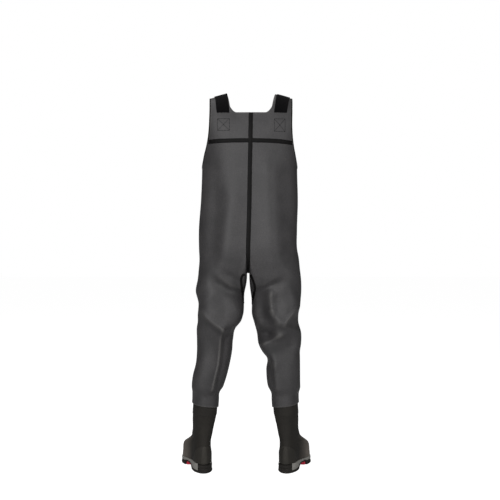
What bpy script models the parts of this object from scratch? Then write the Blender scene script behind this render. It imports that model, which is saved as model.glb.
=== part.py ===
"""Chest waders: a neoprene suit with taped seams and shoulder straps, welded to a pair of rubber boots.

Sizes are in millimetres and become metres where a mesh is made. +Z is up. The suit faces -Y, so its back
faces +Y and its left leg is at +X. The origin is on the floor under the middle of the whole part.
"""

import math
from collections import namedtuple

import bmesh
import bpy
import numpy as np

MM = 0.001
TOUCH = 0.3
WELD = 0.01
SHARP = math.radians(40)
FRAME_X = -2.3
FRAME_Y = 38.8

# Suit: wall, seams and the heights where its patches meet
SUIT_WALL = 4.0
SEAM_HALF = 9.0
FORK = 885.0
CROTCH = 802.0
CROTCH_POWER = 2.2
ARMHOLE_LOW = 1232.0
PANEL_BASE = 1285.0
PANEL_TOP = 1420.0
PANEL_EASE = 2.33
BIB_EASE = 1.5
NECK_LOW = 1445.0
NECK_CORNER = 1474.0
NECK_FLAT = 58.0
NECK_SIDE = 86.0
BIB_TOP = 1370.0
HEM_MID = 266.0
HEM_TILT = 0.14
TORSO_POWER = 2.6
LEG_POWER = 2.25
LEG_BLEND = 0.2
LEG_OUTER_TURN = 240.0
LEG_INNER_TURN = 120.0
FOLD_FADE = 0.5
HEM_BLEND_TOP = 344.0
HEM_BLEND_LOW = 304.0
HEM_CLEAR = 1.4

# Shoulder: the wings of the back panel turn forward over a round of this radius
ROLL_START = 1452.0
ROLL_RADIUS = 72.0
WING_TURN = math.radians(100)
SHOULDER_SLOPE = 0.25
SHOULDER_MID = 120.0
SLOPE_START = 1400.0
SLOPE_RISE = 80.0

# Mesh density of the suit
TORSO_ROWS = 5
BACK_ROWS = 4
WING_ROWS = 7
FRONT_ROWS = 4
LEG_ROWS = 14
CROTCH_POINTS = 5

# Trim
TAPE_THICK = 0.8
CENTRE_TAPE_HALF = 8.8
YOKE_HEIGHT = 1331.0
YOKE_DROP = {1: 2.0, -1: 6.0}
YOKE_HALF = 8.7
TAPE_END = 8.0
TAPE_POINTS = 8
YOKE_POINTS = 5
GUSSET_TAPE = 9.0
BINDING_WIDTH = 4.5
BINDING_THICK = 0.9
BINDING_CLEAR = 1.1
STRAP_WIDTH = 50.0
STRAP_THICK = 2.2
STRAP_CLEAR = 1.2
STRAP_LOW = 1446.0
STRAP_BACK_TURN = math.radians(140)
STRAP_FRONT_OUT = 98.0
STRAP_FRONT_LAP = 60.0
STRAP_BACK_ROWS = 13
STRAP_DROP_ROWS = 5
STRAP_LAP_ROWS = 3

# Depths where the outlines of the trim start and end, well past the forms that they cut
CENTRE_TAPE_FROM = 8.0
YOKE_FROM = 20.0
GUSSET_FROM = 12.0
BEHIND = 300.0
BESIDE = 80.0
BENEATH = -10.0
ABOVE = 1700.0

# Boots
ANKLE_Y = 18.0
BOOT_WALL = 3.0
BOOT_POWER = 2.4
BOOT_COLUMNS = 24
BALL_HALF = 50.5
COUNTER_THICK = 1.4
HEEL_BLOCK_HALF = 22.0
HEEL_BLOCK_DEEP = 14.0
HEEL_BLOCK_TOP = 60.0
HEEL_BLOCK_REAR = 30.0
INSOLE_THICK = 4.0
GROOVE_WIDE = 6.0
GROOVE_DEEP = 4.0
HEEL_GROOVES = (0.09, 0.15, 0.21)
FOREFOOT_GROOVES = (0.60, 0.66, 0.72, 0.78)
INSERT_LOW = 4.0
INSERT_CLEAR = 0.8
INSERT_THIN = 1.0
INSERT_PLACES = (0.475, 0.512)

BootPlace = namedtuple("BootPlace", "name side ankle_x toe_out")
BOOTS = (
    BootPlace("left", 1, 186.0, math.radians(12)),
    BootPlace("right", -1, -175.0, math.radians(-15)),
)

StrapPlace = namedtuple("StrapPlace", "name side low top")
STRAPS = (StrapPlace("left", 1, 111.0, 124.0), StrapPlace("right", -1, 118.0, 135.0))

TorsoSection = namedtuple("TorsoSection", "height seam left right front back")
TORSO = (
    TorsoSection(800, -5, 197, -219, -112, 118),
    TorsoSection(851, -6, 193, -215, -120, 126),
    TorsoSection(900, -6, 195, -206, -128, 130),
    TorsoSection(974, -8, 196, -206, -138, 124),
    TorsoSection(1097, -11, 188, -210, -142, 108),
    TorsoSection(1220, -13, 183, -207, -136, 108),
    TorsoSection(1331, -15, 182, -208, -128, 110),
    TorsoSection(1400, -16, 185, -212, -122, 104),
    TorsoSection(1445, -17, 187, -214, -118, 94),
    TorsoSection(1640, -17, 187, -214, -118, 94),
)

# Outer and inner are reaches away from the middle plane, so one function serves both legs
LegSection = namedtuple("LegSection", "height outer inner front back")
LEGS = {
    1: (
        LegSection(251, 222, 116, -48, 84),
        LegSection(285, 217, 113, -50, 84),
        LegSection(334, 224, 97, -55, 86),
        LegSection(384, 220, 81, -62, 86),
        LegSection(433, 208, 69, -70, 80),
        LegSection(482, 204, 60, -79, 72),
        LegSection(531, 204, 56, -85, 74),
        LegSection(580, 204, 44, -90, 86),
        LegSection(605, 200, 24, -93, 93),
        LegSection(630, 200, 15, -96, 96),
        LegSection(679, 196, 11, -101, 101),
        LegSection(728, 208, 11, -106, 108),
        LegSection(777, 200, 4, -112, 116),
        LegSection(885, 195, 3, -126, 130),
    ),
    -1: (
        LegSection(251, 212, 106, -48, 84),
        LegSection(285, 212, 106, -50, 84),
        LegSection(310, 218, 95, -52, 85),
        LegSection(359, 218, 83, -58, 87),
        LegSection(408, 218, 80, -66, 84),
        LegSection(457, 218, 82, -74, 76),
        LegSection(482, 218, 63, -79, 73),
        LegSection(507, 222, 50, -82, 74),
        LegSection(556, 223, 42, -88, 80),
        LegSection(605, 211, 29, -93, 92),
        LegSection(630, 211, 22, -96, 96),
        LegSection(679, 218, 21, -101, 101),
        LegSection(728, 223, 17, -106, 108),
        LegSection(777, 222, 14, -112, 116),
        LegSection(885, 207, 15, -126, 130),
    ),
}

# Folds of the back, as lines seen from behind: how far each stands out, and its width above and below
Fold = namedtuple("Fold", "x0 z0 x1 z1 rise above below")
FOLDS = (
    Fold(190, 677, 96, 578, 11, 55, 20),
    Fold(86, 574, 22, 617, 11, 55, 20),
    Fold(94, 574, 118, 418, 8, 24, 24),
    Fold(118, 418, 142, 267, 6, 22, 22),
    Fold(34, 721, 106, 761, -8, 22, 22),
    Fold(-61, 725, -117, 757, -8, 22, 22),
    Fold(-212, 661, -161, 605, 9, 40, 20),
    Fold(-60, 592, -104, 566, -9, 22, 22),
    Fold(-53, 518, -140, 578, 8, 22, 30),
    Fold(-105, 438, -117, 299, 6, 22, 22),
    Fold(-104, 1230, -104, 880, 5, 26, 26),
    Fold(-138, 1230, -138, 880, -6, 26, 26),
    Fold(112, 1110, 118, 890, -6, 30, 30),
)

# Columns of half the torso from the front seam round to the back seam, with where the panels' columns end
COLUMN_ANGLES = (-90, -78, -65, -52, -38, -23, -15, -7.5, 0, 7.5, 15, 23, 34, 45, 55, 64, 72, 81, 90)
PANEL_ANGLE = 23.0
FRONT_COLUMNS = (0, 1, 2, 3, 4, 5)
FRONT_TOP_OUT = (9, 40, 72, 98, 118, 130)
BACK_COLUMNS = (11, 12, 13, 14, 15, 16, 17, 18)
BACK_TOP_OUT = (165, 140, 112, 86, 77, 60, 34, 9)
WING_COLUMNS = (11, 12, 13, 14)
WING_LEAN = (3, 6, 12, 18)

# The crotch gusset's edge on each inner thigh, from the crotch down to its point
GussetPoint = namedtuple("GussetPoint", "reach height")
GUSSETS = {
    1: (
        GussetPoint(8, 800),
        GussetPoint(17, 794),
        GussetPoint(22, 776),
        GussetPoint(19, 742),
        GussetPoint(15, 712),
        GussetPoint(4, 678),
    ),
    -1: (
        GussetPoint(15, 800),
        GussetPoint(22, 784),
        GussetPoint(32, 752),
        GussetPoint(31, 726),
        GussetPoint(26, 702),
        GussetPoint(12, 674),
    ),
}

# Rings of the boot from the sole's edge up to the shaft's top. Foot is how much of the footprint a ring
# keeps, rise how far it has left the sole's curve, and lean how far the shaft has moved to the other leg
BootRing = namedtuple("BootRing", "row heel_y heel_z front_y front_z half_width foot rise lean")
BOOT_RINGS = (
    BootRing(0, 66, 37, -224, 38, 50.5, 1.0, 0.0, 0),
    BootRing(1, 68, 50, -226, 50, 51.5, 1.0, 0.35, 0),
    BootRing(2, 69, 66, -222, 64, 51, 0.95, 0.7, 0),
    BootRing(3, 68.5, 84, -206, 79, 48.5, 0.85, 1.0, 0),
    BootRing(4, 66, 104, -176, 96, 45, 0.65, 1.0, 0),
    BootRing(5, 61, 126, -136, 116, 41, 0.4, 1.0, 3),
    BootRing(6, 56, 150, -98, 140, 39, 0.18, 1.0, 6),
    BootRing(7, 54, 176, -74, 167, 40.5, 0.05, 1.0, 9),
    BootRing(8, 56, 204, -66, 199, 45, 0, 1.0, 12),
    BootRing(9, 59.5, 226, -66, 224, 47, 0, 1.0, 14.5),
    BootRing(10, 61, 231, -67.5, 229, 48.5, 0, 1.0, 15),
    BootRing(11, 61.5, 260, -67.5, 259, 48.5, 0, 1.0, 17),
    BootRing(12, 61.5, 289, -67.5, 289, 48.5, 0, 1.0, 19),
)
SHAFT_RING = 11
BOOT_ROWS = (0, 1, 2, 2.8, 3.6, 4.4, 5.2, 6, 7, 8, 9, 10, 12)

FootPlan = namedtuple("FootPlan", "place centre half")
FOOT_PLAN = (
    FootPlan(0.00, 0, 34),
    FootPlan(0.12, 0, 37.5),
    FootPlan(0.30, 2, 36),
    FootPlan(0.50, 4, 42),
    FootPlan(0.68, 2, 50.5),
    FootPlan(0.84, -4, 46),
    FootPlan(1.00, -8, 36),
)

# Heights along the sole from heel to toe: where upper and midsole meet, midsole and outsole, and the tread
SolePlace = namedtuple("SolePlace", "place feather seam ground")
SOLE = (
    SolePlace(0.00, 37, 10, 0),
    SolePlace(0.26, 36, 11, 0),
    SolePlace(0.30, 35, 19, 13),
    SolePlace(0.36, 34, 23, 17),
    SolePlace(0.46, 32, 23, 17),
    SolePlace(0.515, 31, 20, 12),
    SolePlace(0.545, 30.5, 18.5, 0),
    SolePlace(0.70, 29.5, 17, 0),
    SolePlace(0.82, 31, 18, 0),
    SolePlace(0.92, 34.5, 21, 5),
    SolePlace(1.00, 38, 26, 13),
)

# Places where the sole's outline has a point on each side, between its heel and toe tips
HEEL_STATIONS = (0.012, 0.045, 0.1, 0.17, 0.26)
ARCH_STATIONS = (0.3, 0.36, 0.46, 0.515, 0.545)
TOE_STATIONS = (0.61, 0.7, 0.76, 0.82, 0.87, 0.92, 0.96, 0.988)

# Levels of each layer of the sole, from its underside up: how far it stands out past the upper's lower
# edge, and its share of the layer's height
SoleLevel = namedtuple("SoleLevel", "offset share")
OUTSOLE_LEVELS = (
    SoleLevel(2.2, 0),
    SoleLevel(5.4, 0.22),
    SoleLevel(5.0, 0.55),
    SoleLevel(3.6, 0.7),
    SoleLevel(3.6, 1),
)
MIDSOLE_LEVELS = (SoleLevel(3.4, 0), SoleLevel(4.2, 0.5), SoleLevel(3.0, 1))
HEEL_BLOCK_LEVELS = (
    SoleLevel(4.4, 0),
    SoleLevel(5.6, 0.3),
    SoleLevel(4.0, 0.4),
    SoleLevel(4.0, 0.85),
    SoleLevel(5.6, 0.93),
    SoleLevel(5.2, 1),
)
INSERT_LEVELS = (SoleLevel(-5, 0), SoleLevel(-5, 1))
INSOLE_LEVELS = (SoleLevel(-4.4, 0), SoleLevel(-4.4, 1))

# Outline of the heel counter seen from the side of the boot
CounterPoint = namedtuple("CounterPoint", "depth height")
COUNTER = (
    CounterPoint(90, 43),
    CounterPoint(26, 43),
    CounterPoint(24, 70),
    CounterPoint(30, 94),
    CounterPoint(44, 107),
    CounterPoint(90, 109),
)

Finish = namedtuple("Finish", "name colour roughness")
NEOPRENE = Finish("grey_neoprene", (0.075, 0.073, 0.073), 0.75)
TAPE = Finish("black_seam_tape", (0.014, 0.013, 0.013), 0.6)
ELASTIC = Finish("black_elastic", (0.011, 0.010, 0.011), 0.85)
BOOT_RUBBER = Finish("dark_boot_rubber", (0.030, 0.028, 0.025), 0.45)
SOLE_RUBBER = Finish("black_sole_rubber", (0.018, 0.017, 0.016), 0.6)
MIDSOLE_FOAM = Finish("grey_midsole_foam", (0.21, 0.20, 0.19), 0.65)
INSERT_RUBBER = Finish("red_insert_rubber", (0.62, 0.03, 0.06), 0.5)
INSOLE_FELT = Finish("dark_insole_felt", (0.05, 0.05, 0.05), 0.95)


def smooth(share):
    share = np.clip(share, 0.0, 1.0)
    return share * share * (3 - 2 * share)


def spline(table, at):
    """A row of the table's kind at places along its first column, on a smooth curve through its rows."""
    rows = np.array(table, float)
    keys = rows[:, 0]
    slopes = np.gradient(rows, keys, axis=0)
    at = np.clip(np.asarray(at, float), keys[0], keys[-1])
    low = np.clip(np.searchsorted(keys, at, side="right") - 1, 0, len(keys) - 2)
    span = (keys[low + 1] - keys[low])[..., None]
    t = (at - keys[low])[..., None] / span
    value = (2 * t**3 - 3 * t**2 + 1) * rows[low] + (t**3 - 2 * t**2 + t) * span * slopes[low]
    value = value + (3 * t**2 - 2 * t**3) * rows[low + 1] + (t**3 - t**2) * span * slopes[low + 1]
    return type(table[0])(*np.moveaxis(value, -1, 0))


def straight(table, at):
    """A row of the table's kind at places along its first column, on straight lines between its rows."""
    rows = np.array(table, float)
    return type(table[0])(*(np.interp(at, rows[:, 0], column) for column in rows.T))


def oval(angle, power):
    """The two coordinates of a rounded-square curve of unit size."""
    across = np.cos(angle)
    along = np.sin(angle)
    return np.sign(across) * np.abs(across) ** (2 / power), np.sign(along) * np.abs(along) ** (2 / power)


def points(x, y, z):
    return np.stack(np.broadcast_arrays(x, y, z), -1)


def fold_rise(x, z):
    """How far the folds push the back of the suit outwards at a place seen from behind."""
    rise = np.zeros_like(x)
    for fold in FOLDS:
        run = np.array((fold.x1 - fold.x0, fold.z1 - fold.z0), float)
        length = np.hypot(*run)
        along = ((x - fold.x0) * run[0] + (z - fold.z0) * run[1]) / length
        upwards = np.sign(run[0]) if run[0] else 1.0
        over = ((z - fold.z0) * run[0] - (x - fold.x0) * run[1]) / length * upwards
        width = np.where(over > 0, fold.above, fold.below)
        past = np.maximum(0, np.maximum(-along, along - length))
        rise = rise + fold.rise * np.exp(-((over / width) ** 2) - (past / fold.above) ** 2)
    return rise


def reach(section, side):
    """Distance from the centre seam to the torso's side."""
    return section.left - section.seam if side > 0 else section.seam - section.right


def ring_out(side, column, height):
    """Distance of a torso column from the centre seam."""
    section = spline(TORSO, height)
    across, _ = oval(np.radians(np.interp(column, range(len(COLUMN_ANGLES)), COLUMN_ANGLES)), TORSO_POWER)
    return SEAM_HALF + (reach(section, side) - SEAM_HALF) * across


def torso(side, column, height):
    """Points of the closed part of the torso."""
    section = spline(TORSO, height)
    _, along = oval(np.radians(np.interp(column, range(len(COLUMN_ANGLES)), COLUMN_ANGLES)), TORSO_POWER)
    x = section.seam + side * ring_out(side, column, height)
    y = (section.front + section.back) / 2 + (section.back - section.front) / 2 * along
    y = y + fold_rise(x, height) * smooth(along / FOLD_FADE)
    return points(x, y, height)


def panel_y(side, out, height, face):
    """Depth of the back (face 1) or front (face -1) at a distance from the centre seam."""
    section = spline(TORSO, height)
    share = np.clip((out - SEAM_HALF) / (reach(section, side) - SEAM_HALF), 0, 1)
    along = (1 - share**TORSO_POWER) ** (1 / TORSO_POWER)
    y = (section.front + section.back) / 2 + face * (section.back - section.front) / 2 * along
    if face > 0:
        y = y + fold_rise(section.seam + side * out, height) * smooth(along / FOLD_FADE)
    return y


def over_shoulder(out, y, height):
    """Turns the part of the back above the roll forward over the shoulder; returns depth and height."""
    turn = np.clip((height - ROLL_START) / ROLL_RADIUS, 0, None)
    slope = SHOULDER_SLOPE * smooth((out - NECK_FLAT) / (NECK_SIDE - NECK_FLAT))
    drop = slope * (out - SHOULDER_MID) * smooth((height - SLOPE_START) / SLOPE_RISE)
    z = np.minimum(height, ROLL_START) + ROLL_RADIUS * np.sin(turn) - drop
    return y - ROLL_RADIUS * (1 - np.cos(turn)), z


def wing_tip():
    return ROLL_START + ROLL_RADIUS * WING_TURN


def back_panel(side, column, height):
    """Points of the back above the armholes, by column and height before the shoulder's roll."""
    start = ring_out(side, column, np.full_like(height, PANEL_BASE))
    goal = np.interp(column, BACK_COLUMNS, BACK_TOP_OUT)
    share = 1 - (1 - np.clip((height - PANEL_BASE) / (PANEL_TOP - PANEL_BASE), 0, 1)) ** PANEL_EASE
    lean = np.interp(column, WING_COLUMNS, WING_LEAN)
    lean = lean * np.clip((height - NECK_CORNER) / (wing_tip() - NECK_CORNER), 0, 1)
    out = start + (goal - start) * share + lean
    y, z = over_shoulder(out, panel_y(side, out, height, 1), height)
    return points(spline(TORSO, height).seam + side * out, y, z)


def front_panel(side, column, height):
    """Points of the bib above the armholes."""
    start = ring_out(side, column, np.full_like(height, PANEL_BASE))
    goal = np.interp(column, FRONT_COLUMNS, FRONT_TOP_OUT)
    share = 1 - (1 - (height - PANEL_BASE) / (BIB_TOP - PANEL_BASE)) ** BIB_EASE
    out = start + (goal - start) * share
    return points(spline(TORSO, height).seam + side * out, panel_y(side, out, height, -1), height)


def armhole_height(column):
    """Top of the closed torso: it dips under the arms and is level where the panels begin."""
    angle = np.interp(column, range(len(COLUMN_ANGLES)), COLUMN_ANGLES)
    dip = np.clip(1 - (angle / PANEL_ANGLE) ** 2, 0, 1)
    return PANEL_BASE - (PANEL_BASE - ARMHOLE_LOW) * dip


def neckline(column):
    """Top of the back between the wings: flat in the middle, with round corners."""
    out = np.interp(column, BACK_COLUMNS, BACK_TOP_OUT)
    share = np.clip((out - NECK_FLAT) / (NECK_SIDE - NECK_FLAT), 0, 1)
    return NECK_LOW + (NECK_CORNER - NECK_LOW) * (1 - np.sqrt(1 - share**2))


def crotch_curve(side):
    """One edge of the crotch strip from the back seam under to the front seam."""
    section = spline(TORSO, FORK)
    turn = math.pi * np.arange(CROTCH_POINTS + 2) / (CROTCH_POINTS + 1)
    share, sink = oval(turn, CROTCH_POWER)
    y = (section.front + section.back) / 2 + (section.back - section.front) / 2 * share
    edge = points(section.seam + side * SEAM_HALF, y, FORK - (FORK - CROTCH) * sink)
    last = len(COLUMN_ANGLES) - 1
    edge[0] = torso(side, np.array(float(last)), np.array(FORK))
    edge[-1] = torso(side, np.array(0.0), np.array(FORK))
    return edge


def shaft_section(boot, height, angle, clear):
    """A ring around the boot's shaft, a clear distance outside it."""
    ring = spline(BOOT_RINGS, np.full_like(height, SHAFT_RING))
    lean = np.interp(height, [row.heel_z for row in BOOT_RINGS], [row.lean for row in BOOT_RINGS])
    across, along = oval(angle - abs(boot.toe_out), BOOT_POWER)
    x = (ring.half_width + clear) * across - lean
    y = (ring.heel_y + ring.front_y) / 2 + ((ring.heel_y - ring.front_y) / 2 + clear) * along
    return boot_to_suit(boot, boot.side * x, y)


def boot_to_suit(boot, x, y):
    turn_x = x * math.cos(boot.toe_out) - y * math.sin(boot.toe_out)
    turn_y = x * math.sin(boot.toe_out) + y * math.cos(boot.toe_out)
    return boot.ankle_x + turn_x, ANKLE_Y + turn_y


def leg_grid(boot):
    """Points of one leg, from the fork and crotch down to the hem: rows of closed rings."""
    side = boot.side
    columns = np.arange(len(COLUMN_ANGLES), dtype=float)
    outer = torso(side, columns, np.full_like(columns, FORK))
    start = np.concatenate((outer, crotch_curve(side)[1:-1]))
    outer_step = LEG_OUTER_TURN / (len(COLUMN_ANGLES) - 1)
    inner_step = LEG_INNER_TURN / (CROTCH_POINTS + 1)
    inner = LEG_OUTER_TURN / 2 + inner_step * np.arange(1, CROTCH_POINTS + 1)
    angle = np.radians(np.concatenate((outer_step * columns - LEG_OUTER_TURN / 2, inner)))
    hem = HEM_MID + HEM_TILT * BALL_HALF * np.cos(angle)
    t = np.linspace(0, 1, LEG_ROWS + 1)[:, None]
    z = start[:, 2] + (hem - start[:, 2]) * t
    section = spline(LEGS[side], z)
    across, along = oval(angle, LEG_POWER)
    x = side * ((section.outer + section.inner) / 2 + (section.outer - section.inner) / 2 * across)
    y = (section.front + section.back) / 2 + (section.back - section.front) / 2 * along
    y = y + fold_rise(x, z) * smooth(along / FOLD_FADE)
    near = smooth((HEM_BLEND_TOP - z) / (HEM_BLEND_TOP - HEM_BLEND_LOW))
    shaft_x, shaft_y = shaft_section(boot, z, angle, SUIT_WALL + HEM_CLEAR)
    x = x + (shaft_x - x) * near
    y = y + (shaft_y - y) * near
    share = smooth(t / LEG_BLEND)
    x = start[:, 0] + (x - start[:, 0]) * share
    y = start[:, 1] + (y - start[:, 1]) * share
    return points(x, y, z)


def column_grid(patch, side, columns, tops, base, rows):
    """Points of a patch whose columns run from a base height to their own top."""
    share = np.linspace(0, 1, rows + 1)[:, None]
    column = np.broadcast_to(np.asarray(columns, float), (rows + 1, len(columns)))
    return patch(side, column, base + (np.asarray(tops) - base) * share)


def torso_grid(side):
    columns = np.arange(len(COLUMN_ANGLES), dtype=float)
    return column_grid(torso, side, columns, armhole_height(columns), FORK, TORSO_ROWS)


def back_grid(side):
    tops = neckline(np.array(BACK_COLUMNS, float))
    tops[: len(WING_COLUMNS)] = NECK_CORNER
    return column_grid(back_panel, side, BACK_COLUMNS, tops, PANEL_BASE, BACK_ROWS)


def wing_grid(side):
    tops = np.full(len(WING_COLUMNS), wing_tip())
    return column_grid(back_panel, side, WING_COLUMNS, tops, NECK_CORNER, WING_ROWS)


def front_grid(side):
    tops = np.full(len(FRONT_COLUMNS), BIB_TOP)
    return column_grid(front_panel, side, FRONT_COLUMNS, tops, PANEL_BASE, FRONT_ROWS)


def add_patch(mesh, grid, closed=False):
    """Adds a grid of points as faces between its rows."""
    rows = [[mesh.verts.new(point * MM) for point in row] for row in grid]
    count = len(rows[0])
    for lower, upper in zip(rows, rows[1:]):
        for here in range(count if closed else count - 1):
            after = (here + 1) % count
            mesh.faces.new((lower[here], lower[after], upper[after], upper[here]))


def finish_mesh(name, mesh):
    """Joins the patches' shared edges, turns the faces out and makes the mesh."""
    bmesh.ops.remove_doubles(mesh, verts=mesh.verts, dist=WELD * MM)
    bmesh.ops.recalc_face_normals(mesh, faces=mesh.faces)
    data = bpy.data.meshes.new(name)
    mesh.to_mesh(data)
    mesh.free()
    data.shade_smooth()
    data.set_sharp_from_angle(angle=SHARP)
    return data


def add_object(name, data, finish, parent):
    """Adds a named object with its own material under its parent."""
    material = bpy.data.materials.new(f"{finish.name}_{name}")
    material.use_nodes = True
    shader = material.node_tree.nodes["Principled BSDF"]
    shader.inputs["Base Color"].default_value = (*finish.colour, 1.0)
    shader.inputs["Roughness"].default_value = finish.roughness
    shader.inputs["Metallic"].default_value = 0.0
    data.materials.append(material)
    made = bpy.data.objects.new(name, data)
    bpy.context.scene.collection.objects.link(made)
    made.parent = parent
    return made


def add_cutter(name, data, parent):
    made = bpy.data.objects.new(name, data)
    bpy.context.scene.collection.objects.link(made)
    made.parent = parent
    made.hide_render = True
    made.display_type = "WIRE"
    return made


def thicken(made, thickness, outwards):
    wall = made.modifiers.new("wall", "SOLIDIFY")
    wall.thickness = thickness * MM
    wall.offset = 1.0 if outwards else -1.0
    wall.use_rim = True


def cut(made, cutter, operation):
    step = made.modifiers.new(cutter.name, "BOOLEAN")
    step.operation = operation
    step.object = cutter


def overlay(name, surface, thickness, cutter, finish, parent):
    """A layer on a surface, cut to the outline of its cutter."""
    made = add_object(name, surface.copy(), finish, parent)
    lift = made.modifiers.new("lift", "DISPLACE")
    lift.mid_level = 0.0
    lift.strength = TOUCH * MM
    thicken(made, thickness, True)
    cut(made, cutter, "INTERSECT")
    return made


def prism(outline, near, far, plane):
    """A closed outline swept along Y (plane xz) or X (plane yz) from near to far."""
    order = {"xz": lambda a, b, d: (a, d, b), "yz": lambda a, b, d: (d, a, b)}[plane]
    mesh = bmesh.new()
    ends = [[mesh.verts.new(np.array(order(a, b, d)) * MM) for a, b in outline] for d in (near, far)]
    mesh.faces.new(ends[0])
    mesh.faces.new(ends[1])
    for here in range(len(outline)):
        after = (here + 1) % len(outline)
        mesh.faces.new((ends[0][here], ends[0][after], ends[1][after], ends[1][here]))
    return finish_mesh("outline", mesh)


def ribbon_outline(path, width):
    """Outline of a band of even width along a path in a plane."""
    path = np.array(path, float)
    run = np.gradient(path, axis=0)
    run = run / np.linalg.norm(run, axis=1)[:, None]
    aside = np.stack((-run[:, 1], run[:, 0]), -1) * width / 2
    return np.concatenate((path + aside, (path - aside)[::-1]))


def swept_solid(name, sections):
    """A closed solid through sections of equal point count, with both ends filled."""
    mesh = bmesh.new()
    rows = [[mesh.verts.new(point * MM) for point in section] for section in sections]
    for first, second in zip(rows, rows[1:]):
        for here in range(len(first)):
            after = (here + 1) % len(first)
            mesh.faces.new((first[here], first[after], second[after], second[here]))
    mesh.faces.new(rows[0])
    mesh.faces.new(rows[-1])
    return finish_mesh(name, mesh)


def suit_surface():
    """The outer face of the suit as one open surface."""
    mesh = bmesh.new()
    left, right = torso_grid(1), torso_grid(-1)
    add_patch(mesh, np.concatenate((left, right[:, ::-1]), axis=1), closed=True)
    add_patch(mesh, np.concatenate((back_grid(1), back_grid(-1)[:, ::-1]), axis=1))
    add_patch(mesh, np.concatenate((front_grid(1)[:, ::-1], front_grid(-1)), axis=1))
    for boot in BOOTS:
        add_patch(mesh, wing_grid(boot.side))
        add_patch(mesh, leg_grid(boot), closed=True)
    add_patch(mesh, np.stack((crotch_curve(1), crotch_curve(-1))))
    bmesh.ops.triangulate(mesh, faces=mesh.faces)
    return finish_mesh("suit_surface", mesh)


def add_suit_part(name, surface, low, high, root):
    """The part of the suit's wall that is in a box."""
    part = add_object(name, surface.copy(), NEOPRENE, root)
    thicken(part, SUIT_WALL, False)
    cut(part, add_cutter(f"{name}_box", boxes("box", [(low, high)]), root), "INTERSECT")


def add_suit(root):
    surface = suit_surface()
    gap = TOUCH / 2
    add_suit_part("neoprene_torso", surface, (-BEHIND, -BEHIND, FORK + gap), (BEHIND, BEHIND, ABOVE), root)
    middle = float(spline(TORSO, FORK).seam)
    left = (middle + gap, -BEHIND, 0), (BEHIND, BEHIND, FORK - gap)
    right = (-BEHIND, -BEHIND, 0), (middle - gap, BEHIND, FORK - gap)
    add_suit_part("neoprene_leg_left", surface, *left, root)
    add_suit_part("neoprene_leg_right", surface, *right, root)
    add_centre_tape(surface, root)
    for boot in BOOTS:
        add_yoke_tape(surface, boot, root)
        add_gusset_tape(surface, boot, root)
        add_armhole_binding(surface, boot, root)
    for place in STRAPS:
        add_strap(place, root)


def add_centre_tape(surface, root):
    heights = np.linspace(CROTCH - TAPE_END, NECK_LOW - TAPE_END / 2, TAPE_POINTS)
    path = np.stack((spline(TORSO, heights).seam, heights), -1)
    outline = prism(ribbon_outline(path, 2 * CENTRE_TAPE_HALF), CENTRE_TAPE_FROM, BEHIND, "xz")
    cutter = add_cutter("centre_tape_outline", outline, root)
    overlay("centre_back_tape", surface, TAPE_THICK, cutter, TAPE, root)


def add_yoke_tape(surface, boot, root):
    seam = float(spline(TORSO, YOKE_HEIGHT).seam)
    edge = back_panel(boot.side, np.array(float(BACK_COLUMNS[0])), np.array(YOKE_HEIGHT))[0]
    inner = seam + boot.side * (CENTRE_TAPE_HALF + TOUCH)
    outer = edge - boot.side * TAPE_END
    share = np.linspace(0, 1, YOKE_POINTS)
    path = np.stack((inner + (outer - inner) * share, YOKE_HEIGHT - YOKE_DROP[boot.side] * share**2), -1)
    outline = prism(ribbon_outline(path, 2 * YOKE_HALF), YOKE_FROM, BEHIND, "xz")
    cutter = add_cutter(f"yoke_outline_{boot.name}", outline, root)
    overlay(f"yoke_tape_{boot.name}", surface, TAPE_THICK, cutter, TAPE, root)


def add_gusset_tape(surface, boot, root):
    path = [(boot.side * point.reach, point.height) for point in GUSSETS[boot.side]]
    outline = prism(ribbon_outline(path, GUSSET_TAPE), GUSSET_FROM, BEHIND, "xz")
    cutter = add_cutter(f"gusset_outline_{boot.name}", outline, root)
    overlay(f"gusset_tape_{boot.name}", surface, TAPE_THICK, cutter, TAPE, root)


def armhole_edge(side):
    """The armhole's edge from the wing's tip round to the bib's corner, and the points just inside it."""
    wing, back, ring, front = wing_grid(side), back_grid(side), torso_grid(side), front_grid(side)
    under = np.arange(BACK_COLUMNS[0], FRONT_COLUMNS[-1] - 1, -1)
    beside = under.copy()
    beside[0] += 1
    beside[-1] -= 1
    edge = np.concatenate((wing[::-1, 0], back[-2:0:-1, 0], ring[-1, under], front[1:, -1]))
    inside = np.concatenate((wing[::-1, 1], back[-2:0:-1, 1], ring[-2, beside], front[1:, -2]))
    return edge, inside


def surface_normals(surface, places):
    """The surface's own normals at places that are its corners."""
    corners = np.array([vert.co for vert in surface.vertices]) / MM
    nearest = [np.argmin(np.sum((corners - place) ** 2, axis=1)) for place in places]
    return np.array([surface.vertices[index].normal for index in nearest])


def add_armhole_binding(surface, boot, root):
    """A channel folded over the armhole's edge."""
    edge, inside = armhole_edge(boot.side)
    edge_face = surface_normals(surface, edge)
    out = edge - inside
    share = BINDING_WIDTH / np.linalg.norm(out, axis=1)[:, None]
    out = out / np.linalg.norm(out, axis=1)[:, None]
    lip = edge - out * BINDING_WIDTH
    lip_face = edge_face + (surface_normals(surface, inside) - edge_face) * share
    near, far = BINDING_CLEAR, BINDING_CLEAR + BINDING_THICK
    sections = (
        lip + lip_face * near,
        lip + lip_face * far,
        edge + edge_face * far + out * far,
        edge - edge_face * (SUIT_WALL + far) + out * far,
        lip - lip_face * (SUIT_WALL + far),
        lip - lip_face * (SUIT_WALL + near),
        edge - edge_face * (SUIT_WALL + near) + out * near,
        edge + edge_face * near + out * near,
    )
    binding = swept_solid("binding", np.stack(sections, axis=1))
    add_object(f"armhole_binding_{boot.name}", binding, TAPE, root)


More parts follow.
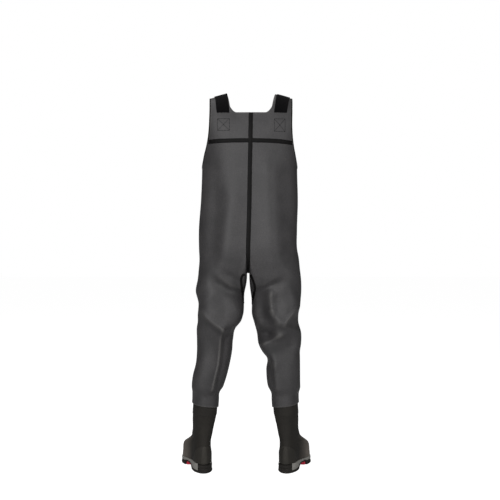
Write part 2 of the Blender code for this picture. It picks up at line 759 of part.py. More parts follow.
def strap_line(place, share, lift):
    """Points along the strap at one place across its width, on a face that is lifted off the suit."""
    heights = np.linspace(STRAP_LOW, ROLL_START + ROLL_RADIUS * STRAP_BACK_TURN, STRAP_BACK_ROWS)
    top = ROLL_START + ROLL_RADIUS * math.pi / 2
    middle = place.low + (place.top - place.low) * np.clip((heights - STRAP_LOW) / (top - STRAP_LOW), 0, 1)
    out = middle + share * STRAP_WIDTH / 2
    turn = np.clip((heights - ROLL_START) / ROLL_RADIUS, 0, None)
    y, z = over_shoulder(out, panel_y(place.side, out, heights, 1), heights)
    over = np.stack((out, y + lift * np.cos(turn), z + lift * np.sin(turn)), -1)
    front = np.full(STRAP_LAP_ROWS, STRAP_FRONT_OUT + share * STRAP_WIDTH / 2)
    low = np.linspace(BIB_TOP, BIB_TOP - STRAP_FRONT_LAP, STRAP_LAP_ROWS)
    lap = np.stack((front, panel_y(place.side, front, low, -1) - lift, low), -1)
    t = np.linspace(0, 1, STRAP_DROP_ROWS + 2)[1:-1, None]
    leave = over[-1] - over[-2]
    arrive = lap[1] - lap[0]
    reach_out = np.linalg.norm(lap[0] - over[-1])
    leave = leave / np.linalg.norm(leave) * reach_out
    arrive = arrive / np.linalg.norm(arrive) * reach_out
    drop = (2 * t**3 - 3 * t**2 + 1) * over[-1] + (t**3 - 2 * t**2 + t) * leave
    drop = drop + (3 * t**2 - 2 * t**3) * lap[0] + (t**3 - t**2) * arrive
    line = np.concatenate((over, drop, lap))
    seam = spline(TORSO, np.minimum(line[:, 2], BIB_TOP + ROLL_RADIUS)).seam
    line[:, 0] = seam + place.side * line[:, 0]
    return line


def add_strap(place, root):
    """A flat elastic strap from the back over the shoulder to the bib."""
    low, high = STRAP_CLEAR, STRAP_CLEAR + STRAP_THICK
    corners = ((-1, low), (0, low), (1, low), (1, high), (0, high), (-1, high))
    sections = np.stack([strap_line(place, share, lift) for share, lift in corners], axis=1)
    add_object(f"shoulder_strap_{place.name}", swept_solid("strap", sections), ELASTIC, root)


def boot_rings(side, rows, angle):
    """Points of the boot's upper in its own frame, heel at +Y and toe at -Y."""
    ring = spline(BOOT_RINGS, rows)
    along, across = oval(angle, BOOT_POWER)
    place = (1 - along) / 2
    plan = spline(FOOT_PLAN, place)
    half = ring.half_width * (1 + ring.foot * (plan.half / BALL_HALF - 1))
    x = ring.foot * plan.centre + half * across - ring.lean
    y = ring.heel_y + (ring.front_y - ring.heel_y) * place
    feather = spline(SOLE, place).feather + TOUCH
    chord = ring.heel_z + (ring.front_z - ring.heel_z) * place
    return points(side * x, y, feather + (chord - feather) * np.clip(ring.rise, 0, 1))


def boot_surface(side):
    """The outer face of the boot's upper as one open surface."""
    rows = np.array(BOOT_ROWS)
    angle = 2 * math.pi * np.arange(BOOT_COLUMNS) / BOOT_COLUMNS
    mesh = bmesh.new()
    add_patch(mesh, boot_rings(side, rows[:, None] + 0 * angle, angle + 0 * rows[:, None]), closed=True)
    bmesh.ops.triangulate(mesh, faces=mesh.faces)
    return finish_mesh("boot_surface", mesh)


def footprint(side, offset):
    """The upper's lower outline moved outwards: points in plan, and each one's place from heel to toe."""
    along = 1 - 2 * np.array((0.0, *HEEL_STATIONS, *ARCH_STATIONS, *TOE_STATIONS, 1.0))
    half_turn = np.arccos(np.sign(along) * np.abs(along) ** (BOOT_POWER / 2))
    angle = np.concatenate((half_turn, -half_turn[-2:0:-1]))
    ring = boot_rings(side, np.zeros_like(angle), angle)[:, :2]
    run = np.roll(ring, -1, axis=0) - np.roll(ring, 1, axis=0)
    run = run / np.linalg.norm(run, axis=1)[:, None]
    out = np.stack((-run[:, 1], run[:, 0]), -1) * side
    return ring + out * offset, (1 - oval(angle, BOOT_POWER)[0]) / 2


def sole_slab(name, side, levels, underside, top):
    """A closed layer of the sole through its levels, between two heights along the foot."""
    mesh = bmesh.new()
    rings = []
    for level in levels:
        plan, place = footprint(side, level.offset)
        sole = straight(SOLE, place)
        z = underside(sole) + (top(sole) - underside(sole)) * level.share
        rings.append([mesh.verts.new(point * MM) for point in points(plan[:, 0], plan[:, 1], z)])
    count = len(rings[0])
    for lower, upper in zip(rings, rings[1:]):
        for here in range(count):
            after = (here + 1) % count
            mesh.faces.new((lower[here], lower[after], upper[after], upper[here]))
    for ring in (rings[0], rings[-1]):
        toe = count // 2
        mesh.faces.new((ring[0], ring[1], ring[-1]))
        mesh.faces.new((ring[toe - 1], ring[toe], ring[toe + 1]))
        for here in range(1, toe - 1):
            mesh.faces.new((ring[here], ring[here + 1], ring[-here - 1], ring[-here]))
    return finish_mesh(name, mesh)


def place_y(place):
    """Depth in the boot's own frame of a place from heel to toe."""
    return BOOT_RINGS[0].heel_y + (BOOT_RINGS[0].front_y - BOOT_RINGS[0].heel_y) * place


def box_into(mesh, low, high):
    made = bmesh.ops.create_cube(mesh, size=1.0)["verts"]
    middle = (np.array(low) + np.array(high)) / 2
    size = np.array(high) - np.array(low)
    for vert in made:
        vert.co = (np.array(vert.co) * size + middle) * MM


def boxes(name, corners):
    mesh = bmesh.new()
    for low, high in corners:
        box_into(mesh, low, high)
    return finish_mesh(name, mesh)


def heel_block_box(grow):
    """The notch at the back of the heel that the heel block fills."""
    rear = BOOT_RINGS[0].heel_y
    half = HEEL_BLOCK_HALF + grow
    return (-half, rear - HEEL_BLOCK_DEEP - grow, BENEATH), (half, rear + HEEL_BLOCK_REAR, HEEL_BLOCK_TOP)


def add_boot_upper(boot, stand):
    surface = boot_surface(boot.side)
    upper = add_object(f"boot_upper_{boot.name}", surface.copy(), BOOT_RUBBER, stand)
    thicken(upper, BOOT_WALL, False)
    cutter = add_cutter(f"counter_outline_{boot.name}", prism(COUNTER, -BESIDE, BESIDE, "yz"), stand)
    overlay(f"heel_counter_{boot.name}", surface, COUNTER_THICK, cutter, BOOT_RUBBER, stand)


def sole_seam(sole):
    return sole.seam


def feather_edge(sole):
    return sole.feather


def add_midsole(boot, stand):
    slab = sole_slab("midsole", boot.side, MIDSOLE_LEVELS, sole_seam, feather_edge)
    midsole = add_object(f"midsole_{boot.name}", slab, MIDSOLE_FOAM, stand)
    notch = add_cutter(f"heel_notch_{boot.name}", boxes("notch", [heel_block_box(0)]), stand)
    cut(midsole, notch, "DIFFERENCE")


def add_heel_block(boot, stand):
    slab = sole_slab("heel_block", boot.side, HEEL_BLOCK_LEVELS, sole_seam, feather_edge)
    block = add_object(f"heel_block_{boot.name}", slab, SOLE_RUBBER, stand)
    outline = add_cutter(f"heel_block_box_{boot.name}", boxes("block", [heel_block_box(-TOUCH)]), stand)
    cut(block, outline, "INTERSECT")


def add_outsole(boot, stand):
    slab = sole_slab(
        "outsole", boot.side, OUTSOLE_LEVELS, lambda sole: sole.ground, lambda sole: sole.seam - TOUCH
    )
    outsole = add_object(f"outsole_{boot.name}", slab, SOLE_RUBBER, stand)
    grooves = []
    for place in HEEL_GROOVES + FOREFOOT_GROOVES:
        middle = place_y(place)
        low = (-BESIDE, middle - GROOVE_WIDE / 2, BENEATH)
        grooves.append((low, (BESIDE, middle + GROOVE_WIDE / 2, GROOVE_DEEP)))
    cut(outsole, add_cutter(f"grooves_{boot.name}", boxes("grooves", grooves), stand), "DIFFERENCE")


def insert_top(sole):
    """The insert fills the arch up to just under the outsole."""
    return np.maximum(sole.ground - INSERT_CLEAR, INSERT_LOW + INSERT_THIN)


def add_arch_insert(boot, stand):
    slab = sole_slab("arch_insert", boot.side, INSERT_LEVELS, lambda sole: INSERT_LOW, insert_top)
    insert = add_object(f"arch_insert_{boot.name}", slab, INSERT_RUBBER, stand)
    rear, front = (place_y(place) for place in INSERT_PLACES)
    window = boxes("arch", [((-BESIDE, front, BENEATH), (BESIDE, rear, HEEL_BLOCK_TOP))])
    cut(insert, add_cutter(f"arch_window_{boot.name}", window, stand), "INTERSECT")


def insole_seat(sole):
    return sole.feather + TOUCH


def add_insole(boot, stand):
    slab = sole_slab(
        "insole", boot.side, INSOLE_LEVELS, insole_seat, lambda sole: insole_seat(sole) + INSOLE_THICK
    )
    add_object(f"insole_{boot.name}", slab, INSOLE_FELT, stand)


def add_boot(boot, root):
    stand = bpy.data.objects.new(f"boot_{boot.name}", None)
    bpy.context.scene.collection.objects.link(stand)
    stand.parent = root
    stand.location = (boot.ankle_x * MM, ANKLE_Y * MM, 0)
    stand.rotation_euler = (0, 0, boot.toe_out)
    for add_piece in (add_boot_upper, add_insole, add_midsole, add_heel_block, add_outsole, add_arch_insert):
        add_piece(boot, stand)


def main():
    for old in list(bpy.data.objects):
        bpy.data.objects.remove(old, do_unlink=True)
    root = bpy.data.objects.new("waders", None)
    bpy.context.scene.collection.objects.link(root)
    root.location = (FRAME_X * MM, FRAME_Y * MM, 0)
    add_suit(root)
    for boot in BOOTS:
        add_boot(boot, root)


main()
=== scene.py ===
"""Looks of the chest waders: the neoprene suit with its folds, tapes, straps and stitches, and both boots.

Sizes are in millimetres until points become metres. The suit faces -Y, its back faces +Y and its left leg is
at +X. Tables of sections give the shapes; the same functions serve the shell, its lining and what is on it.
"""

import math
from collections import namedtuple

import bmesh
import bpy
import numpy as np
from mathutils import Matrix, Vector
from mathutils.bvhtree import BVHTree


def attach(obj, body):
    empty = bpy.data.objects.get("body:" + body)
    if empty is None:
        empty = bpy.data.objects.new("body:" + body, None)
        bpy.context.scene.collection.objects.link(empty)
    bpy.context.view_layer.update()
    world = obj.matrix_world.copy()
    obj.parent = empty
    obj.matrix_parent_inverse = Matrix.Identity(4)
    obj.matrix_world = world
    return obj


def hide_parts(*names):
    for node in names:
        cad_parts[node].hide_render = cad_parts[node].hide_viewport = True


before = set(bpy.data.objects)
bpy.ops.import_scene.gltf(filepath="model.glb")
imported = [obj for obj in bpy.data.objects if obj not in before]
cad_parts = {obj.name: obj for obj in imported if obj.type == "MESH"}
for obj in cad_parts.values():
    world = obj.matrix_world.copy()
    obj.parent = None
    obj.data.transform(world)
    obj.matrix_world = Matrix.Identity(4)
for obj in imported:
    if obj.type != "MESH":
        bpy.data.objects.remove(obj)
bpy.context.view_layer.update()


def table(kind, *rows):
    """Rows of one kind of named tuple."""
    return tuple(kind(*row) for row in rows)


# Units, the shift from the tables' frame to the part's own, how near points are welded (in metres), and the
# turn in degrees over which an edge stays hard
MM = 0.001
FRAME_SHIFT = np.array((-2.3, 38.8, 0.0))
WELD = 0.00001
SHARP = 40
SUIT_SHARP = 70
BINDING_SHARP = 50
BOOT_SHARP = 60

# Suit: wall, seams and the heights where its patches meet
SUIT_WALL = 4.0
SEAM_HALF = 9.0
CROTCH_HALF = 4.5
FORK = 885.0
CROTCH = 802.0
CROTCH_POWER = 2.2
ARMHOLE_LOW = 1232.0
PANEL_BASE = 1285.0
PANEL_TOP = 1420.0
PANEL_EASE = 2.33
BIB_EASE = 1.5
NECK_LOW = 1445.0
NECK_CORNER = 1474.0
NECK_FLAT = 58.0
NECK_SIDE = 86.0
BIB_TOP = 1370.0
HEM_MID = 266.0
HEM_TILT = 0.14
TORSO_POWER = 2.6
YOKE_POWER = 4.2
LEG_POWER = 2.7
LEG_BLEND = 0.2
LEG_OUTER_TURN = 240.0
LEG_INNER_TURN = 120.0
FOLD_FADE = 0.34
HEM_BLEND_TOP = 344.0
HEM_BLEND_LOW = 304.0
HEM_CLEAR = 0.9

# Shoulder: the wings of the back panel turn forward over a round of this radius
ROLL_START = 1452.0
ROLL_RADIUS = 72.0
WING_TURN = math.radians(100)
WING_TIP = ROLL_START + ROLL_RADIUS * WING_TURN
SHOULDER_SLOPE = 0.25
SHOULDER_MID = 120.0
SLOPE_START = 1400.0
SLOPE_RISE = 80.0

# Fineness of the suit: points to a column of its section, and rows of each patch
FINE = 4
TORSO_ROWS = 64
BACK_ROWS = 36
WING_ROWS = 24
FRONT_ROWS = 20
LEG_ROWS = 160
CROTCH_POINTS = 29

# Trim
TAPE_THICK = 1.1
TAPE_SINK = 0.3
CENTRE_TAPE_HALF = 8.8
CENTRE_TAPE_ROWS = 120
SIDE_TAPE_ROWS = 60
NECK_TAPE_GAP = 1.5
YOKE_TAPE_LAP = 1.0
YOKE_TAPE_GAP = 4.4
YOKE_HEIGHT = 1331.0
YOKE_DROP = {1: 2.0, -1: 6.0}
YOKE_HALF = 8.7
GUSSET_TAPE_HALF = 4.5
BINDING_WIDTH = 3.2
BINDING_CLEAR = 0.15
BINDING_THICK = 1.2
BINDING_SOFT = 0.8
STRAP_WIDTH = 50.0
STRAP_THICK = 2.2
STRAP_HOLLOW = 0.88
STRAP_CLEAR = 1.2
STRAP_LOW = 1444.0
STRAP_BACK_TURN = math.radians(140)
STRAP_FRONT_OUT = 98.0
STRAP_FRONT_LAP = 60.0
STRAP_BACK_ROWS = 60
STRAP_DROP_ROWS = 40
STRAP_LAP_ROWS = 14
BEHIND = 500.0

# Stitches: real thread is about 0.6 mm thick, and it is drawn as thick as it needs to show
STITCH_LONG = 4.2
STITCH_GAP = 1.6
STITCH_THICK = 2.6
STITCH_TALL = 1.0
STITCH_SIDES = 6
STITCH_PLACES = (0.0, 0.25, 0.5, 0.75, 1.0)
STITCH_SWELL = (0.15, 0.85, 1.0, 0.85, 0.15)
STITCH_INSET = 6.0

# Boots
ANKLE_Y = 18.0
BOOT_WALL = 3.0
BOOT_POWER = 2.4
BOOT_COLUMNS = 96
BOOT_FINE_ROWS = 84
BALL_HALF = 50.5
SHAFT_RING = 11
CREASE_SLANT = 0.0009
COUNTER_THICK = 2.0
COUNTER_POINTS = 48
COUNTER_EDGE = 0.06
SPINE_HALF = 0.22
SPINE_THICK = 1.2
HEEL_BLOCK_OUTER = 22.0
HEEL_BLOCK_INNER = 60.0
HEEL_BLOCK_DEEP = 30.0
HEEL_BLOCK_TOP = 60.0
HEEL_BLOCK_REAR = 30.0
INSOLE_THICK = 4.0
GROOVE_WIDE = 6.0
GROOVE_DEEP = 4.0
HEEL_GROOVES = (0.09, 0.15, 0.21)
FOREFOOT_GROOVES = (0.60, 0.66, 0.72, 0.78)
INSERT_LOW = 3.0
INSERT_CLEAR = 0.8
INSERT_THIN = 1.0
INSERT_PLACES = (0.475, 0.512)
SOLE_POINTS = 46
TOUCH = 0.3
BESIDE = 80.0
BENEATH = -10.0
BEVEL_ANGLE = 50

BootPlace = namedtuple("BootPlace", "name side ankle_x toe_out")
BOOTS = (
    BootPlace("left", 1, 186.0, math.radians(12)),
    BootPlace("right", -1, -175.0, math.radians(-15)),
)

StrapPlace = namedtuple("StrapPlace", "name side low top")
STRAPS = table(StrapPlace, ("left", 1, 111.0, 124.0), ("right", -1, 118.0, 135.0))

TorsoSection = namedtuple("TorsoSection", "height seam left right front back")
TORSO = table(
    TorsoSection,
    (800, -5, 197, -219, -112, 118),
    (851, -6, 193, -215, -120, 126),
    (900, -6, 195, -206, -128, 130),
    (974, -8, 196, -206, -138, 124),
    (1097, -11, 188, -210, -142, 108),
    (1220, -13, 183, -207, -136, 108),
    (1331, -15, 182, -208, -128, 110),
    (1400, -16, 185, -212, -122, 104),
    (1445, -17, 187, -214, -118, 94),
    (1640, -17, 187, -214, -118, 94),
)

# Outer and inner are reaches away from the middle plane, so one function serves both legs
LegSection = namedtuple("LegSection", "height outer inner front back")
LEGS = {
    1: table(
        LegSection,
        (251, 222, 116, -48, 84),
        (285, 217, 113, -50, 84),
        (334, 224, 97, -55, 86),
        (384, 220, 81, -62, 86),
        (433, 208, 69, -70, 80),
        (482, 204, 60, -79, 72),
        (531, 204, 56, -85, 74),
        (580, 204, 44, -90, 86),
        (605, 200, 24, -93, 93),
        (630, 200, 15, -96, 96),
        (679, 196, 11, -101, 101),
        (728, 208, 11, -106, 108),
        (777, 200, 4, -112, 116),
        (885, 195, 3, -126, 130),
    ),
    -1: table(
        LegSection,
        (251, 212, 106, -48, 84),
        (285, 212, 106, -50, 84),
        (310, 218, 95, -52, 85),
        (359, 218, 83, -58, 87),
        (408, 218, 80, -66, 84),
        (457, 218, 82, -74, 76),
        (482, 218, 63, -79, 73),
        (507, 222, 50, -82, 74),
        (556, 223, 42, -88, 80),
        (605, 211, 29, -93, 92),
        (630, 211, 22, -96, 96),
        (679, 218, 21, -101, 101),
        (728, 223, 17, -106, 108),
        (777, 222, 14, -112, 116),
        (885, 207, 15, -126, 130),
    ),
}

# Folds as lines of (x, height) seen from behind: how far each stands out, its widths above and below the
# line, and how far it fades past its ends. On a steep line that runs down and away from the middle, above is
# its outer side
Fold = namedtuple("Fold", "path rise above below fade")
LEFT_KNEE_LIP = ((192, 662), (162, 627), (119, 594), (96, 576), (58, 588), (16, 632))
BACK_FOLDS = table(
    Fold,
    # Left knee and calf
    (LEFT_KNEE_LIP, 15, 80, 14, 30),
    (LEFT_KNEE_LIP, 8, 80, 60, 30),
    (((196, 668), (162, 629), (119, 596), (96, 579)), 4, 9, 6, 16),
    (((44, 566), (80, 548)), -8, 12, 26, 26),
    (((93, 570), (103, 538), (107, 485), (113, 438), (126, 385), (136, 339), (146, 279)), 14, 28, 10, 26),
    (((96, 571), (104, 542), (107, 512), (113, 438), (126, 385), (136, 339)), 6, 8, 7, 20),
    # Seat
    (((64, 792), (30, 770)), -11, 12, 20, 30),
    (((106, 762), (73, 738), (27, 724)), -15, 14, 26, 44),
    (((-30, 727), (-73, 743), (-108, 762)), -14, 13, 24, 44),
    # Right thigh and knee
    (((-98, 712), (-103, 658)), 11, 11, 30, 26),
    (((-114, 704), (-112, 660)), -6, 12, 10, 26),
    (((-58, 700), (-66, 630)), -18, 28, 30, 36),
    (((-103, 650), (-114, 612), (-121, 575), (-126, 553)), 10, 18, 24, 20),
    (((-127, 600), (-138, 570)), 11, 26, 24, 20),
    (((-196, 760), (-200, 726)), -6, 24, 24, 30),
    (((-216, 668), (-181, 640), (-156, 607)), 26, 60, 16, 26),
    (((-216, 668), (-186, 645), (-162, 615)), 8, 9, 6, 14),
    (((-153, 590), (-180, 578), (-212, 568)), 8, 14, 16, 26),
    (((-176, 530), (-180, 518)), -11, 22, 24, 24),
    (((-42, 574), (-66, 564), (-88, 558)), -21, 22, 26, 18),
    (((-60, 515), (-100, 536), (-153, 560)), 12, 19, 40, 30),
    (((-64, 517), (-100, 536), (-140, 555)), 3, 8, 8, 20),
    # Right calf, and both hems
    (((-60, 516), (-86, 470), (-106, 438)), 9, 34, 9, 24),
    (((-106, 440), (-116, 372), (-124, 275)), 8, 32, 9, 26),
    (((-90, 430), (-102, 366)), -5, 12, 12, 30),
    (((-193, 410), (-194, 326)), -4, 18, 18, 40),
    (((-106, 297), (-206, 302)), -4, 7, 9, 10),
    (((212, 301), (110, 294)), -4, 7, 9, 10),
    # Torso
    (((-98, 1190), (-101, 1108), (-109, 1002), (-116, 903), (-120, 870)), 13, 46, 44, 70),
    (((-158, 1180), (-161, 1080), (-164, 900)), -7, 36, 44, 70),
    (((60, 1080), (76, 980), (90, 880)), 9, 36, 46, 60),
    (((128, 1090), (136, 890)), -9, 36, 34, 60),
    (((128, 1150), (134, 1215)), -5, 30, 34, 50),
    (((38, 1430), (40, 1360)), -1.6, 24, 22, 40),
)
FRONT_FOLDS = table(
    Fold,
    (((168, 610), (112, 588), (58, 606)), 6, 20, 12, 30),
    (((160, 560), (112, 545), (66, 560)), -4, 18, 18, 30),
    (((150, 470), (112, 455), (80, 470)), 4, 18, 14, 30),
    (((120, 380), (170, 350)), 4, 16, 16, 30),
    (((40, 790), (120, 840)), -5, 16, 20, 30),
    (((-180, 610), (-120, 592), (-60, 612)), 6, 20, 12, 30),
    (((-170, 560), (-118, 548), (-66, 566)), -4, 18, 18, 30),
    (((-165, 480), (-120, 462), (-84, 476)), 4, 18, 14, 30),
    (((-120, 372), (-180, 352)), 4, 16, 16, 30),
    (((-50, 790), (-130, 836)), -5, 16, 20, 30),
    (((-60, 1180), (-70, 960)), 4, 30, 30, 30),
    (((50, 1170), (62, 940)), 4, 30, 30, 30),
)

# Columns of half the torso from the front seam round to the back seam, with where the panels' columns end
COLUMN_ANGLES = (-90, -78, -65, -52, -38, -23, -15, -7.5, 0, 7.5, 15, 23, 34, 45, 55, 64, 72, 81, 90)
ALL_COLUMNS = tuple(range(len(COLUMN_ANGLES)))
PANEL_ANGLE = 23.0
FRONT_COLUMNS = (0, 1, 2, 3, 4, 5)
FRONT_TOP_OUT = (9, 40, 72, 98, 118, 130)
BACK_COLUMNS = (11, 12, 13, 14, 15, 16, 17, 18)
BACK_TOP_OUT = (165, 140, 112, 86, 77, 60, 34, 9)
WING_COLUMNS = (11, 12, 13, 14)
WING_LEAN = (3, 6, 12, 18)

# The crotch gusset's edge on each inner thigh, from the crotch down to its point
GussetPoint = namedtuple("GussetPoint", "step reach height")
GUSSETS = {
    1: table(
        GussetPoint,
        (0, 8, 800), (1, 17, 794), (2, 22, 776), (3, 19, 742), (4, 15, 712), (5, 9, 678),
    ),
    -1: table(
        GussetPoint,
        (0, 15, 800), (1, 22, 784), (2, 32, 752), (3, 31, 726), (4, 26, 702), (5, 18, 674),
    ),
}

# Squares of stitches that hold each strap's hidden end, seen from behind
StitchBox = namedtuple("StitchBox", "name side inner outer low high")
STITCH_BOXES = table(
    StitchBox,
    ("left", 1, 68, 116, 1371, 1419),
    ("right", -1, 110, 153, 1367, 1418),
)

# Rings of the boot from the sole's edge up to the shaft's top. Foot is how much of the footprint a ring
# keeps, rise how far it has left the sole's curve, and lean how far the shaft has moved to the other leg
BootRing = namedtuple("BootRing", "row heel_y heel_z front_y front_z half_width foot rise lean")
BOOT_RINGS = table(
    BootRing,
    (0, 66, 37, -224, 38, 50.5, 1.0, 0.0, 0),
    (1, 68, 50, -226, 50, 51.5, 1.0, 0.35, 0),
    (2, 69, 66, -222, 64, 51, 0.95, 0.7, 0),
    (3, 68.5, 84, -206, 79, 51, 0.95, 1.0, 0),
    (4, 66, 104, -176, 96, 47, 0.9, 1.0, 0),
    (5, 61.5, 126, -136, 116, 37, 0, 1.0, 5),
    (6, 57, 150, -98, 140, 39, 0.1, 1.0, 8),
    (7, 55, 176, -74, 167, 41, 0.05, 1.0, 10),
    (8, 56, 204, -66, 199, 45, 0, 1.0, 12),
    (9, 59.5, 226, -66, 224, 47, 0, 1.0, 14.5),
    (10, 61, 231, -67.5, 229, 48.5, 0, 1.0, 15),
    (11, 61.5, 260, -67.5, 259, 48.5, 0, 1.0, 17),
    (12, 61.5, 289, -67.5, 289, 48.5, 0, 1.0, 19),
)

# Creases round the boot: their row, the middle and the spread of their turn in degrees (0 is the heel and 180
# the front), their width in rows and how far they stand out
BootCrease = namedtuple("BootCrease", "row turn spread width rise")
BOOT_CREASES = table(
    BootCrease,
    (7.30, 12, 60, 0.09, -0.9),
    (7.52, -14, 70, 0.10, -1.1),
    (7.74, 20, 55, 0.09, -0.7),
    (6.20, 180, 55, 0.16, -2.0),
    (6.65, 172, 60, 0.15, -1.8),
    (5.75, 186, 50, 0.16, -1.4),
)

FootPlan = namedtuple("FootPlan", "place centre half")
FOOT_PLAN = table(
    FootPlan,
    (0.00, -3, 37), (0.12, -3.5, 42), (0.30, -2, 38), (0.50, 6, 43), (0.68, 7.5, 52), (0.84, 0, 47),
    (1.00, -7, 36),
)

# Heights along the sole from heel to toe: where upper and midsole meet, midsole and outsole, and the tread
SolePlace = namedtuple("SolePlace", "place feather seam ground")
SOLE = table(
    SolePlace,
    (0.00, 37, 10, 0),
    (0.26, 36, 11, 0),
    (0.30, 35, 19, 13),
    (0.36, 34, 25, 20),
    (0.46, 32, 25, 20),
    (0.515, 31, 21, 13),
    (0.545, 30.5, 18.5, 0),
    (0.70, 29.5, 17, 0),
    (0.82, 31, 18, 0),
    (0.92, 34.5, 21, 5),
    (1.00, 38, 26, 13),
)

# Levels of each layer of the sole, from its underside up: how far it stands out past the upper's lower
# edge, and its share of the layer's height
SoleLevel = namedtuple("SoleLevel", "offset share")
OUTSOLE_LEVELS = table(
    SoleLevel,
    (2.2, 0), (4.6, 0.08), (5.4, 0.22), (5.3, 0.45), (5.0, 0.55), (3.6, 0.66), (3.6, 1),
)
MIDSOLE_LEVELS = table(
    SoleLevel,
    (3.2, 0), (3.7, 0.08), (4.2, 0.5), (3.8, 0.85), (2.8, 1),
)
HEEL_BLOCK_LEVELS = table(
    SoleLevel,
    (4.4, 0), (5.6, 0.12), (5.6, 0.3), (4.0, 0.36), (4.0, 0.42), (5.2, 0.48), (5.8, 0.78),
    (5.4, 0.84), (-1.5, 0.85), (-1.5, 1),
)
INSERT_LEVELS = table(SoleLevel, (-0.5, 0), (-0.5, 1))
INSOLE_LEVELS = table(SoleLevel, (-4.4, 0), (-4.4, 1))


def smooth(share):
    share = np.clip(share, 0.0, 1.0)
    return share * share * (3 - 2 * share)


def unit(vectors):
    return vectors / np.linalg.norm(vectors, axis=-1)[..., None]


def curve(t, start, leave, end, arrive):
    """The smooth curve between two places that leaves and arrives in given directions."""
    value = (2 * t**3 - 3 * t**2 + 1) * start + (t**3 - 2 * t**2 + t) * leave
    return value + (3 * t**2 - 2 * t**3) * end + (t**3 - t**2) * arrive


def spline(sections, at):
    """A row of the table's kind at places along its first column, on a smooth curve through its rows."""
    rows = np.array(sections, float)
    keys = rows[:, 0]
    slopes = np.gradient(rows, keys, axis=0)
    at = np.clip(np.asarray(at, float), keys[0], keys[-1])
    low = np.clip(np.searchsorted(keys, at, side="right") - 1, 0, len(keys) - 2)
    span = (keys[low + 1] - keys[low])[..., None]
    t = (at - keys[low])[..., None] / span
    value = curve(t, rows[low], span * slopes[low], rows[low + 1], span * slopes[low + 1])
    return type(sections[0])(*np.moveaxis(value, -1, 0))


def straight(sections, at):
    """A row of the table's kind at places along its first column, on straight lines between its rows."""
    rows = np.array(sections, float)
    return type(sections[0])(*(np.interp(at, rows[:, 0], column) for column in rows.T))


def oval(angle, power):
    """The two coordinates of a rounded-square curve of unit size."""
    across = np.cos(angle)
    along = np.sin(angle)
    return np.sign(across) * np.abs(across) ** (2 / power), np.sign(along) * np.abs(along) ** (2 / power)


def points(x, y, z):
    return np.stack(np.broadcast_arrays(x, y, z), -1)


def fold_rise(folds, x, z):
    """How far folds push the suit outwards at a place seen from behind."""
    rise = np.zeros(np.broadcast(x, z).shape)
    for fold in folds:
        nearest = np.full_like(rise, np.inf)
        over = np.zeros_like(rise)
        past = np.zeros_like(rise)
        last = len(fold.path) - 2
        for index, ((x0, z0), (x1, z1)) in enumerate(zip(fold.path, fold.path[1:])):
            length = math.hypot(x1 - x0, z1 - z0)
            run = ((x1 - x0) / length, (z1 - z0) / length)
            along = (x - x0) * run[0] + (z - z0) * run[1]
            aside = ((z - z0) * run[0] - (x - x0) * run[1]) * (1 if run[0] >= 0 else -1)
            beyond = np.maximum(-along, along - length)
            away = np.hypot(aside, np.maximum(beyond, 0))
            closer = away < nearest
            at_end = (index == 0) & (along < 0) | (index == last) & (along > length)
            over = np.where(closer, np.where(at_end, aside, np.sign(aside) * away), over)
            past = np.where(closer, np.where(at_end, beyond, 0), past)
            nearest = np.where(closer, away, nearest)
        width = np.where(over > 0, fold.above, fold.below)
        rise = rise + fold.rise * np.exp(-((over / width) ** 2) - (past / fold.fade) ** 2)
    return rise


def folded(x, y, z, along):
    """Depth with the folds of the back and front added, fading out towards the sides."""
    back = fold_rise(BACK_FOLDS, x, z) * smooth(along / FOLD_FADE)
    front = fold_rise(FRONT_FOLDS, x, z) * smooth(-along / FOLD_FADE)
    return y + back - front


def depth(section, along):
    """Depth of a section, from its front (along -1) to its back (along 1)."""
    return (section.front + section.back) / 2 + (section.back - section.front) / 2 * along


def reach(section, side):
    """Distance from the centre seam to the torso's side."""
    return section.left - section.seam if side > 0 else section.seam - section.right


def column_angle(column):
    return np.radians(np.interp(column, ALL_COLUMNS, COLUMN_ANGLES))


def ring_out(side, column, height):
    """Distance of a torso column from the centre seam."""
    section = spline(TORSO, height)
    across, _ = oval(column_angle(column), TORSO_POWER)
    return SEAM_HALF + (reach(section, side) - SEAM_HALF) * across


def torso(side, column, height):
    """Points of the closed part of the torso."""
    section = spline(TORSO, height)
    _, along = oval(column_angle(column), TORSO_POWER)
    x = section.seam + side * ring_out(side, column, height)
    y = depth(section, along)
    return points(x, folded(x, y, height, along), height)


def panel_y(side, out, height, face):
    """Depth of the back (face 1) or front (face -1) at a distance from the centre seam."""
    section = spline(TORSO, height)
    share = np.clip((out - SEAM_HALF) / (reach(section, side) - SEAM_HALF), 0, 1)
    flat = smooth((height - PANEL_BASE) / (ROLL_START - PANEL_BASE)) * (face > 0)
    power = TORSO_POWER + (YOKE_POWER - TORSO_POWER) * flat
    along = face * (1 - share**power) ** (1 / power)
    y = depth(section, along)
    return folded(section.seam + side * out, y, height, along)


def over_shoulder(out, y, height):
    """Turns the part of the back above the roll forward over the shoulder; returns depth and height."""
    turn = np.clip((height - ROLL_START) / ROLL_RADIUS, 0, None)
    slope = SHOULDER_SLOPE * smooth((out - NECK_FLAT) / (NECK_SIDE - NECK_FLAT))
    drop = slope * (out - SHOULDER_MID) * smooth((height - SLOPE_START) / SLOPE_RISE)
    z = np.minimum(height, ROLL_START) + ROLL_RADIUS * np.sin(turn) - drop
    return y - ROLL_RADIUS * (1 - np.cos(turn)), z


